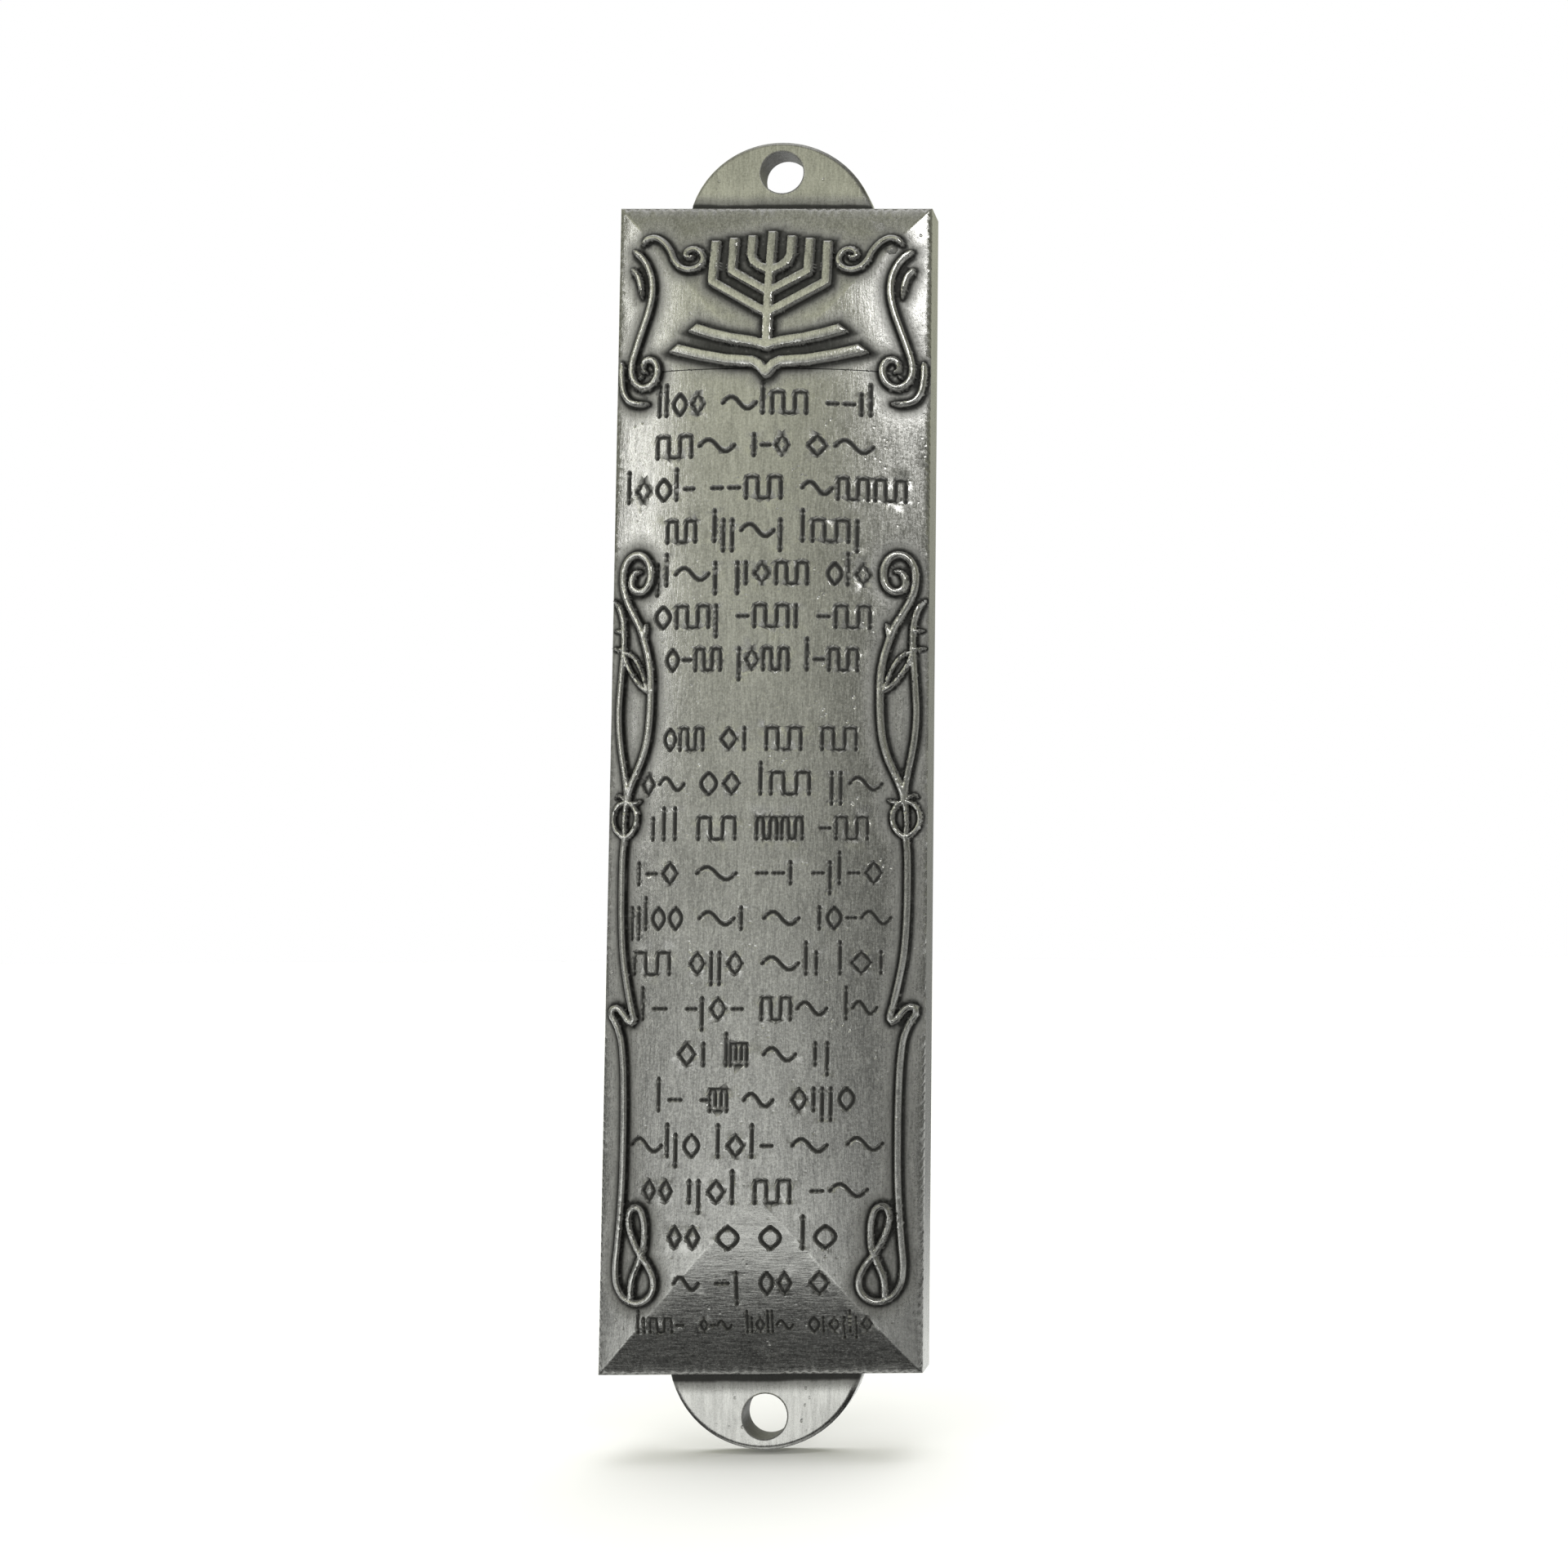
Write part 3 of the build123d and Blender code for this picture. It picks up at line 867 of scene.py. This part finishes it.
def antiqued_metal(settings, grain, casting):
    """Front and outside: brushed on the high faces, black in the recesses and in the marks, with painted
    shade at the tab roots, in the screw holes, round the relief and low on the body, and painted highlights
    along the creases and beside the marks.
    """
    material, nodes, shader, place = new_material("antiqued_casting")
    finish_and_painted_light = nodes.add("ShaderNodeAttribute", {"attribute_name": "finish_and_painted_light"})
    masks = nodes.add("ShaderNodeSeparateColor", None, {"Color": finish_and_painted_light.outputs["Color"]}).outputs
    # masks: patina with painted soft shade round the relief, polish with painted highlights along the
    # creases and beside the marks, and ink
    patina_and_shade, polish, ink = masks[0], masks[1], masks[2]
    where = nodes.axes(place)
    past_end = nodes.math("SUBTRACT", nodes.math("ABSOLUTE", where["Z"]), CASE.half_height * MM)
    below = nodes.math("LESS_THAN", where["Z"], 0.0)
    lower = nodes.math("MULTIPLY", finish_and_painted_light.outputs["Alpha"], below)

    # the brush ran up the case, and across it on the lower sloping end
    up = place_group(nodes, grain, {"Coordinates": place, "Stretch": GRAIN_UP})
    across = place_group(nodes, grain, {"Coordinates": place, "Stretch": GRAIN_ACROSS})
    lines = {name: nodes.blend(lower, up[name], across[name]) for name in ("Streaks", "Fine")}
    lines["Speckle"] = up["Speckle"]
    cast = place_group(nodes, casting, {"Coordinates": place})
    cloud = nodes.noise(place, 260.0, 3.0)
    # painted shade with antiquing at the tab roots, and painted shade in the screw holes
    tab_patina_and_shade = nodes.math("MULTIPLY", tab_corner_patina_and_shade(nodes, where, past_end, cloud), 0.96)
    # patina with its painted soft shade round the relief, thinned in patches
    worn_patina_and_shade = nodes.math("MULTIPLY", patina_and_shade, nodes.ramp(cast["Lumps"], 0.25, 0.5, 0.9, 1.0))
    dark = nodes.math("MAXIMUM", nodes.math("MAXIMUM", worn_patina_and_shade, ink), tab_patina_and_shade, clamp=True)
    film_and_shade = brushed_film_and_shade(nodes, where, past_end, cloud, polish, lower, lines)

    metal = shaded(settings.metal_colour, 1.0)
    bright = shaded(settings.metal_colour, 1.25)
    # brighter metal where polished, and painted highlights along the creases and beside the marks
    base = nodes.mix(nodes.math("MULTIPLY", polish, 0.8), metal, bright)
    # darker film: antiquing, and the painted shade low on the body
    base = nodes.mix(film_and_shade, base, shaded(settings.metal_colour, 0.22))
    # patina colour over patina, ink and the painted shade at the tab roots, in the screw holes and round
    # the relief
    base = nodes.mix(dark, base, shaded(settings.patina_and_shade_colour, 1.0))
    rough = nodes.math("ADD", nodes.math("MULTIPLY", lines["Fine"], 0.10), 0.15)
    rough = nodes.math("ADD", rough, nodes.math("MULTIPLY", lines["Speckle"], 0.06))
    rough = nodes.math("ADD", rough, nodes.math("MULTIPLY", dark, 0.25), clamp=True)
    nodes.feed(shader.inputs["Base Color"], base)
    nodes.feed(shader.inputs["Metallic"], nodes.math("SUBTRACT", 1.0, nodes.math("MULTIPLY", dark, 0.95)))
    shader.inputs["Specular IOR Level"].default_value = 0.3
    nodes.feed(shader.inputs["Roughness"], rough)
    sandiness = nodes.math("ADD", nodes.math("MULTIPLY", dark, 0.8), 0.12)
    sand = nodes.math("MULTIPLY", cast["Lumps"], sandiness)
    rough_cast = nodes.math("SUBTRACT", sand, nodes.math("MULTIPLY", cast["Pits"], 0.35))
    cast_normal = bump(nodes, rough_cast, 0.09 * MM, 0.8)
    scratches = nodes.blend(0.6, lines["Streaks"], lines["Fine"])
    nodes.feed(shader.inputs["Normal"], bump(nodes, scratches, 0.008 * MM, 1.0, cast_normal))
    return material


def raw_metal(settings, casting):
    """Cavity: unbrushed zinc, dull and grey, as it left the mould."""
    material, nodes, shader, place = new_material("raw_casting")
    cast = place_group(nodes, casting, {"Coordinates": place})
    cloud = nodes.noise(place, 320.0, 4.0, 0.6)
    dull = shaded(settings.metal_colour, 0.62)
    dusk = shaded(settings.metal_colour, 0.40)
    base = nodes.mix(nodes.ramp(cloud, 0.25, 0.75), dull, dusk)
    nodes.feed(shader.inputs["Base Color"], nodes.mix(cast["Pits"], base, dusk))
    nodes.feed(shader.inputs["Roughness"], nodes.ramp(cast["Lumps"], 0.3, 0.7, 0.5, 0.66))
    shader.inputs["Metallic"].default_value = 0.85
    nodes.feed(shader.inputs["Normal"], bump(nodes, cast["Lumps"], 0.08 * MM))
    return material


def cover_metal(grain):
    """Rear cover: rolled sheet brushed along its length, with handling marks and a dark ring round its
    screws.
    """
    material, nodes, shader, place = new_material("brushed_cover_sheet")
    low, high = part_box("cover_screws")
    head_radius = (high[0] - low[0]) / 2
    where = nodes.axes(place)
    off_axis = nodes.math("SUBTRACT", nodes.math("ABSOLUTE", where["Z"]), high[2] - head_radius)
    from_screw = distance_to(nodes, where["X"], off_axis)
    # darker in a ring just outside each screw head
    darkening = nodes.ramp(from_screw, head_radius + 0.05 * MM, head_radius + 0.4 * MM, 0.85, 0.0)
    lines = place_group(nodes, grain, {"Coordinates": place, "Stretch": GRAIN_UP})
    smudge = nodes.ramp(nodes.noise(place, 260.0, 4.0, 0.65), 0.35, 0.7)
    tone = nodes.mix(lines["Streaks"], (0.52, 0.525, 0.515, 1.0), (0.74, 0.745, 0.73, 1.0))
    stained = nodes.mix(nodes.math("MULTIPLY", smudge, 0.1), tone, (0.3, 0.3, 0.285, 1.0))
    nodes.feed(shader.inputs["Base Color"], nodes.mix(darkening, stained, (0.05, 0.05, 0.045, 1.0)))
    nodes.feed(shader.inputs["Roughness"], nodes.math("ADD", nodes.math("MULTIPLY", smudge, 0.06), 0.3))
    shader.inputs["Metallic"].default_value = 1.0
    nodes.feed(shader.inputs["Normal"], bump(nodes, lines["Fine"], 0.01 * MM, 0.8))
    return material


def screw_metal():
    """Bright plated steel with a fine speckle, darkened down in the recess of the head."""
    material, nodes, shader, place = new_material("plated_screw_steel")
    where = nodes.axes(place)
    sunk = nodes.math("SUBTRACT", float(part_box("cover_screws")[1][1]), where["Y"])
    in_head = nodes.math("LESS_THAN", sunk, 0.5 * MM)
    # darker down in the recess of the head
    darkening = nodes.math("MULTIPLY", nodes.ramp(sunk, 0.04 * MM, 0.12 * MM, 0.0, 0.92), in_head)
    speckle = nodes.noise(place, 9000.0, 2.0)
    plated = nodes.mix(speckle, (0.78, 0.78, 0.77, 1.0), (0.90, 0.90, 0.885, 1.0))
    nodes.feed(shader.inputs["Base Color"], nodes.mix(darkening, plated, (0.04, 0.04, 0.036, 1.0)))
    nodes.feed(shader.inputs["Roughness"], nodes.ramp(speckle, 0.3, 0.7, 0.28, 0.36))
    shader.inputs["Metallic"].default_value = 1.0
    nodes.feed(shader.inputs["Normal"], bump(nodes, speckle, 0.002 * MM))
    return material


def parchment_skin(settings):
    """Parchment: cream with warmer clouds, fine follicle speckle and a matt surface."""
    material, nodes, shader, place = new_material("parchment")
    cloud = nodes.noise(place, 120.0, 4.0, 0.6)
    speck = nodes.add("ShaderNodeTexVoronoi", None, {"Vector": place, "Scale": 2600.0}).outputs["Distance"]
    fibre = nodes.noise(place, 1800.0, 4.0, 0.7)
    skin = shaded(settings.parchment_colour, 1.0)
    warm = tuple(c * f for c, f in zip(settings.parchment_colour, (0.80, 0.70, 0.56))) + (1.0,)
    base = nodes.mix(nodes.ramp(cloud, 0.35, 0.7), skin, warm)
    base = nodes.mix(nodes.ramp(speck, 0.0, 0.16, 0.28, 0.0), base, (0.36, 0.25, 0.13, 1.0))
    nodes.feed(shader.inputs["Base Color"], base)
    nodes.feed(shader.inputs["Roughness"], nodes.ramp(fibre, 0.3, 0.7, 0.62, 0.8))
    nodes.feed(shader.inputs["Normal"], bump(nodes, fibre, 0.04 * MM, 0.6))
    return material


def clear_film():
    """Sleeve: clear plastic, faintly rippled, with a bright edge."""
    material, nodes, shader, place = new_material("clear_film")
    ripple = nodes.noise(place, 240.0, 2.0)
    shader.inputs["Base Color"].default_value = (0.94, 0.965, 0.975, 1.0)
    shader.inputs["Transmission Weight"].default_value = 1.0
    shader.inputs["IOR"].default_value = 1.18
    nodes.feed(shader.inputs["Roughness"], nodes.ramp(ripple, 0.3, 0.7, 0.03, 0.10))
    nodes.feed(shader.inputs["Normal"], bump(nodes, ripple, 0.2 * MM, 0.5))
    return material


def floor_paint():
    """Pale matt floor."""
    material, nodes, shader, place = new_material("pale_floor")
    cloud = nodes.noise(place, 6.0, 3.0)
    paint = nodes.mix(cloud, (0.90, 0.90, 0.90, 1.0), (0.93, 0.93, 0.925, 1.0))
    nodes.feed(shader.inputs["Base Color"], paint)
    shader.inputs["Roughness"].default_value = 0.9
    return material


# ---------------------------------------------------------------- meshes


SHARP_ANGLE = math.radians(38)


def new_piece(name, vertices, faces, materials):
    """A smooth mesh object at the origin, with hard edges where its faces turn sharply."""
    mesh = bpy.data.meshes.new(name)
    mesh.from_pydata(vertices, [], faces)
    for material in materials:
        mesh.materials.append(material)
    mesh.shade_smooth()
    mesh.set_sharp_from_angle(angle=SHARP_ANGLE)
    piece = bpy.data.objects.new(name, mesh)
    bpy.context.scene.collection.objects.link(piece)
    return piece


def finish_node(name, material):
    """Gives a CAD node its material."""
    for slot in frame["nodes"][name].material_slots:
        slot.material = material


# Millimetres: longest edge of the rim, the band below its rounding, what tells the front's faces from
# the others, and what tells the cavity's.
RIM_STEP = 0.9
RIM_BAND = 0.1
RIM_MARGIN = 0.002
FRONT_DEPTH = 0.5
CAVITY_WALL = 0.95
BACK_MARGIN = 0.02


def open_plain_case(vault):
    """Copy of the plain case without its front: merged, cut back to the rim, and the rim divided.

    A face belongs to the front if its middle lies past the rim plane and within FRONT_DEPTH of the
    vault. The rim is then set back by its rounding, with a narrow band below it.
    """
    shell = bmesh.new()
    shell.from_mesh(frame["nodes"]["case_body"].data)
    bmesh.ops.remove_doubles(shell, verts=shell.verts, dist=2e-7)
    middles = np.array([face.calc_center_median() for face in shell.faces]) / MM
    surface = CASE.rim_depth + vault.height(middles[:, 0], middles[:, 2])
    front = (-middles[:, 1] > CASE.rim_depth + RIM_MARGIN) & (-middles[:, 1] > surface - FRONT_DEPTH)
    shell.faces.ensure_lookup_table()
    bmesh.ops.delete(shell, geom=[shell.faces[i] for i in np.flatnonzero(front)], context="FACES")
    waiting = [edge for edge in shell.edges if edge.is_boundary]
    while waiting:
        edge = waiting.pop()
        if edge.calc_length() > RIM_STEP * MM:
            half, _ = bmesh.utils.edge_split(edge, edge.verts[0], 0.5)
            waiting += [edge, half]
    rim_edges = [edge for edge in shell.edges if edge.is_boundary]
    for vertex in {vertex for edge in rim_edges for vertex in edge.verts}:
        vertex.co.y = -(CASE.rim_depth - RIM_ROUND - RIM_BAND) * MM
    bmesh.ops.extrude_edge_only(shell, edges=rim_edges)
    return shell


def rim_loop(shell):
    """The rim's vertices in order round the opening."""
    edge = next(edge for edge in shell.edges if edge.is_boundary)
    loop = [edge.verts[0]]
    vertex = edge.verts[1]
    while vertex is not loop[0]:
        loop.append(vertex)
        edge = next(e for e in vertex.link_edges if e.is_boundary and e is not edge)
        vertex = edge.other_vert(vertex)
    if sum(edge.is_boundary for edge in shell.edges) != len(loop):
        raise RuntimeError("The plain case has more than one opening at its front")
    return loop


def join_front(shell, settings, vault):
    """Vertices, faces and masks of the plain shell with the sculpted front joined at the rim.

    The front's rim vertices are the shell's own, and the others are added after them. The masks of
    the shell's vertices are zero.
    """
    shell.verts.index_update()
    rim = rim_loop(shell)
    rim_numbers = np.array([vertex.index for vertex in rim])
    outline = np.array([(vertex.co.x, vertex.co.z) for vertex in rim]) / MM
    front, triangles, finish_and_painted_light, on_rim = front_surface(outline, vault, settings)
    plain = np.array([vertex.co for vertex in shell.verts])
    plain[rim_numbers, 1] = -(CASE.rim_depth - RIM_ROUND) * MM
    inner = on_rim < 0
    numbers = np.where(inner, len(plain) + np.cumsum(inner) - 1, rim_numbers[on_rim])
    faces = [[vertex.index for vertex in face.verts] for face in shell.faces] + numbers[triangles].tolist()
    masks = np.concatenate([np.zeros((len(plain), 4)), finish_and_painted_light[inner]])
    return np.concatenate([plain, front[inner]]), faces, masks.astype(np.float32)


def in_cavity(shell):
    """For each face of the shell, 1 if it lies in the cavity, 0 if outside."""
    middles = np.abs([face.calc_center_median() for face in shell.faces]) / MM
    wide = middles[:, 0] < CASE.half_width - CAVITY_WALL
    high = middles[:, 2] < CASE.half_height - CAVITY_WALL
    return (wide & high & (middles[:, 1] > BACK_MARGIN)).astype(np.int32)


class MEZUZAH_OT_case(bpy.types.Operator):
    """Build the casting: plain sides and back from the frame, and a sculpted front"""

    bl_idname = "mezuzah.case"
    bl_label = "Cast Case"

    def execute(self, context):
        settings = context.scene.mezuzah_case
        vault = Vault(settings)
        shell = open_plain_case(vault)
        vertices, faces, masks = join_front(shell, settings, vault)
        slots = np.zeros(len(faces), np.int32)
        slots[: len(shell.faces)] = in_cavity(shell)
        shell.free()
        grain, casting = brushed_grain(), casting_skin()
        materials = [antiqued_metal(settings, grain, casting), raw_metal(settings, casting)]
        piece = new_piece("cast_case", vertices, faces, materials)
        # masks of patina, polish, ink and the sloping ends, painted soft shade and painted highlights among
        # them
        finish_and_painted_light = piece.data.attributes.new("finish_and_painted_light", "FLOAT_COLOR", "POINT")
        finish_and_painted_light.data.foreach_set("color", masks.ravel())
        piece.data.polygons.foreach_set("material_index", slots)
        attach(piece, "case")
        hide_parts("case_body")
        finish_node("back_cover", cover_metal(grain))
        return {"FINISHED"}


class MEZUZAH_OT_screws(bpy.types.Operator):
    """Finish the two screws that hold the rear cover"""

    bl_idname = "mezuzah.screws"
    bl_label = "Cover Screws"

    def execute(self, context):
        finish_node("cover_screws", screw_metal())
        return {"FINISHED"}


class Roll(NamedTuple):
    """A rolled sheet in millimetres: thickness, pitch of its turns and unevenness of its ends."""

    turns: float
    thickness: float
    pitch: float
    unevenness: float


SLEEVE_ROLL = Roll(1.12, 0.1, 0.12, 0.2)
PARCHMENT_PITCH = 0.24
PARCHMENT_UNEVENNESS = 0.5
POINTS_PER_TURN = 72
ROLL_COLUMNS = 41
EDGE_STAGE = 1.4
UNEVEN_WAVE = 1.7


def roll_profiles(roll, radius, reach):
    """Outer and inner profile of a rolled sheet, and the stage of each point.

    The profile is a stadium whose end radius shrinks by the pitch each turn. Over four equal stages
    the direction turns through the first end, stays, turns through the second and stays, while the
    centre waits and crosses in turn. The sheet's edge lies on the rear face.
    """
    stage = EDGE_STAGE + np.linspace(0, 4 * roll.turns, int(roll.turns * POINTS_PER_TURN) + 1)
    corners = np.arange(int(4 * roll.turns) + 8)
    turned = np.pi * (np.floor((corners + 1) / 2) - 0.5)
    centre = reach * np.array([1, 1, -1, -1])[corners % 4]
    angle = np.interp(stage, corners, turned)
    across = np.interp(stage, corners, centre)
    shrunk = radius - roll.pitch * (stage - stage[0]) / 4
    profiles = [
        np.stack([across + r * np.cos(angle), r * np.sin(angle)], axis=1)
        for r in (shrunk, shrunk - roll.thickness)
    ]
    return profiles, stage


def rolled_sheet(name, node, roll, material):
    """A sheet rolled into the flattened round of a node's box.

    Its outer and inner profiles close into one loop that is carried along the length, and each turn's
    ends stand a little unevenly.
    """
    low, high = (np.array(corner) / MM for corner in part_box(node))
    middle = (low + high) / 2
    radius = (high[1] - low[1]) / 2
    (outer, inner), stage = roll_profiles(roll, radius, (high[0] - low[0]) / 2 - radius)
    loop = np.concatenate([outer, inner[::-1]])
    inward = np.concatenate([stage, stage[::-1]])
    half_length = (high[2] - low[2]) / 2 - roll.unevenness * (1 + np.sin(UNEVEN_WAVE * inward)) / 2
    x = np.repeat(middle[0] + loop[:, :1], ROLL_COLUMNS, axis=1)
    y = np.repeat(middle[1] + loop[:, 1:], ROLL_COLUMNS, axis=1)
    z = middle[2] + half_length[:, None] * np.linspace(-1, 1, ROLL_COLUMNS)
    vertices = np.stack([x, y, z], axis=-1).reshape(-1, 3) * MM

    # walls along the length, then the strips that close both ends
    rows = len(loop)
    here = np.arange(rows)[:, None] * ROLL_COLUMNS + np.arange(ROLL_COLUMNS - 1)
    beside = (np.arange(rows)[:, None] + 1) % rows * ROLL_COLUMNS + np.arange(ROLL_COLUMNS - 1)
    walls = np.stack([here, beside, beside + 1, here + 1], axis=-1).reshape(-1, 4)
    first = np.arange(rows // 2 - 1)
    opposite = rows - 1 - first
    strip = np.stack([first, first + 1, opposite - 1, opposite], axis=-1) * ROLL_COLUMNS
    faces = np.concatenate([walls, strip[:, ::-1], strip + ROLL_COLUMNS - 1])
    piece = new_piece(name, vertices, faces.tolist(), [material])
    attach(piece, "scroll")
    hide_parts(node)
    return piece


class MEZUZAH_OT_scroll(bpy.types.Operator):
    """Roll the parchment and wrap it in its clear sleeve"""

    bl_idname = "mezuzah.scroll"
    bl_label = "Scroll and Sleeve"

    def execute(self, context):
        settings = context.scene.mezuzah_scroll
        sheet = settings.sheet_thickness / MM
        parchment_roll = Roll(settings.turns, sheet, PARCHMENT_PITCH, PARCHMENT_UNEVENNESS)
        skin = parchment_skin(settings)
        parchment = rolled_sheet("rolled_parchment", "parchment_scroll", parchment_roll, skin)
        sleeve = rolled_sheet("sleeve_wrap", "scroll_sleeve", SLEEVE_ROLL, clear_film())
        return {"FINISHED"}


# ---------------------------------------------------------------- stage


# Metres and degrees. The lights are named by their side of the case, and their size is across and up.
KEY_PLACE = (-0.495, -0.369, 0.16)
KEY_SIZE = (0.06, 0.24)
FILL_PLACE = (0.295, -0.497, 0.275)
FILL_SIZE = (0.28, 0.08)
FILL_SHARE = 2.9
OVERHEAD_SPREAD = 60
FLOOR_REACH = 2.0
CAMERA_PLACE = (0.0440, -0.1780, -0.0126)
CAMERA_TURN = (93.95, 0.24, -0.63)
CAMERA_LENS = 44.05
CAMERA_SHIFT = -0.3140


def area_light(name, location, size, power):
    """Rectangular light that faces the middle of the case."""
    lamp = bpy.data.lights.new(name, "AREA")
    lamp.shape = "RECTANGLE"
    lamp.size, lamp.size_y = size
    lamp.energy = power
    light = bpy.data.objects.new(name, lamp)
    light.location = location
    light.rotation_euler = (-Vector(location)).to_track_quat("-Z", "Y").to_euler()
    bpy.context.scene.collection.objects.link(light)


# What the metal mirrors, by the sine of the elevation: how bright it is and how much of it is blue.
ROOM_STOPS = (
    (-1.0, 0.90, 0.97), (-0.88, 0.55, 0.97), (-0.76, 0.04, 0.97), (-0.58, 0.14, 0.97), (-0.44, 0.34, 0.98),
    (-0.24, 2.10, 0.98), (-0.13, 0.56, 0.98), (-0.03, 0.46, 0.95), (0.12, 0.55, 0.88), (0.33, 0.80, 0.79),
    (0.60, 0.57, 0.79), (0.80, 0.36, 0.82), (1.0, 0.20, 0.85),
)


def soft_studio():
    """White to the camera. What the metal mirrors changes with height and dims towards both sides."""
    world = bpy.data.worlds.new("soft_studio")
    world.use_nodes = True
    nodes = Nodes(world.node_tree)
    direction = nodes.add("ShaderNodeTexCoord").outputs["Generated"]
    where = nodes.axes(direction)
    height = nodes.add("ShaderNodeMapRange", None, {"Value": where["Z"], "From Min": -1.0}).outputs[0]
    ramp = nodes.add("ShaderNodeValToRGB", None, {"Fac": height})
    stops = ramp.color_ramp.elements
    for sine, grey, blue in ROOM_STOPS:
        stop = stops.new((sine + 1) / 2)
        stop.color = (grey, grey * 1.015, grey * blue, 1.0)
    ahead = nodes.ramp(where["X"], -0.24, 0.42, 1.0, 0.34)
    behind = nodes.ramp(where["Y"], 0.1, 0.5, 0.0, 0.65)
    far_left = nodes.ramp(where["X"], -0.86, -0.62, 0.45, 1.0)
    aside = nodes.math("MULTIPLY", nodes.math("MAXIMUM", ahead, behind), far_left)
    room = nodes.mix(aside, (0.0, 0.0, 0.0, 1.0), ramp.outputs["Color"])
    seen = nodes.add("ShaderNodeLightPath").outputs["Is Camera Ray"]
    background = world.node_tree.nodes["Background"]
    nodes.feed(background.inputs["Color"], nodes.mix(seen, room, (1.0, 1.0, 1.0, 1.0)))
    bpy.context.scene.world = world


def overhead_light(power):
    """Even light straight down on the floor, which the metal doesn't mirror."""
    lamp = bpy.data.lights.new("overhead", "SUN")
    lamp.energy = power
    lamp.angle = math.radians(OVERHEAD_SPREAD)
    light = bpy.data.objects.new("overhead", lamp)
    light.visible_glossy = False
    bpy.context.scene.collection.objects.link(light)


def pale_floor(settings):
    """Floor under the lower tab, which the metal doesn't mirror."""
    ground = cad_bounds[0][2] - settings.floor_gap
    around = ((-1, -1), (1, -1), (1, 1), (-1, 1))
    corners = [(x * FLOOR_REACH, y * FLOOR_REACH, ground) for x, y in around]
    floor = new_piece("floor", corners, [(0, 1, 2, 3)], [floor_paint()])
    floor.visible_glossy = False
    floor.visible_shadow = False


def front_camera(scene):
    """Camera low on the right with a shifted lens, so that the case's long sides stay nearly parallel."""
    lens = bpy.data.cameras.new("camera")
    lens.lens = CAMERA_LENS
    lens.shift_x = CAMERA_SHIFT
    camera = bpy.data.objects.new("camera", lens)
    camera.location = CAMERA_PLACE
    camera.rotation_euler = [math.radians(angle) for angle in CAMERA_TURN]
    scene.collection.objects.link(camera)
    scene.camera = camera
    scene.view_settings.view_transform = "Standard"


class MEZUZAH_OT_stage(bpy.types.Operator):
    """Place the floor, the lights, the surroundings and the camera"""

    bl_idname = "mezuzah.stage"
    bl_label = "Stage"

    def execute(self, context):
        settings = context.scene.mezuzah_stage
        pale_floor(settings)
        area_light("key_left", KEY_PLACE, KEY_SIZE, settings.key_power)
        area_light("fill_right", FILL_PLACE, FILL_SIZE, settings.key_power * FILL_SHARE)
        overhead_light(settings.overhead_power)
        soft_studio()
        front_camera(context.scene)
        return {"FINISHED"}


# ---------------------------------------------------------------- add-on


class MEZUZAH_PT_panel(bpy.types.Panel):
    """The steps that build the case, and their settings"""

    bl_idname = "MEZUZAH_PT_panel"
    bl_label = "Mezuzah Case"
    bl_space_type = "VIEW_3D"
    bl_region_type = "UI"
    bl_category = "Mezuzah"

    def draw(self, context):
        for operator in OPERATORS:
            self.layout.operator(operator.bl_idname)
        for name, group in SETTINGS.items():
            for field in group.__annotations__:
                self.layout.prop(getattr(context.scene, name), field)


SETTINGS = {"mezuzah_case": CaseSettings, "mezuzah_scroll": ScrollSettings, "mezuzah_stage": StageSettings}
OPERATORS = (MEZUZAH_OT_stage, MEZUZAH_OT_case, MEZUZAH_OT_screws, MEZUZAH_OT_scroll)
CLASSES = (*SETTINGS.values(), *OPERATORS, MEZUZAH_PT_panel)


def register():
    for cls in CLASSES:
        bpy.utils.register_class(cls)
    for name, group in SETTINGS.items():
        setattr(bpy.types.Scene, name, PointerProperty(type=group))


def unregister():
    for name in SETTINGS:
        delattr(bpy.types.Scene, name)
    for cls in reversed(CLASSES):
        bpy.utils.unregister_class(cls)


def main():
    """Builds everything."""
    register()
    bpy.ops.mezuzah.stage()
    bpy.ops.mezuzah.case()
    bpy.ops.mezuzah.screws()
    bpy.ops.mezuzah.scroll()


if __name__ == "__main__":
    main()
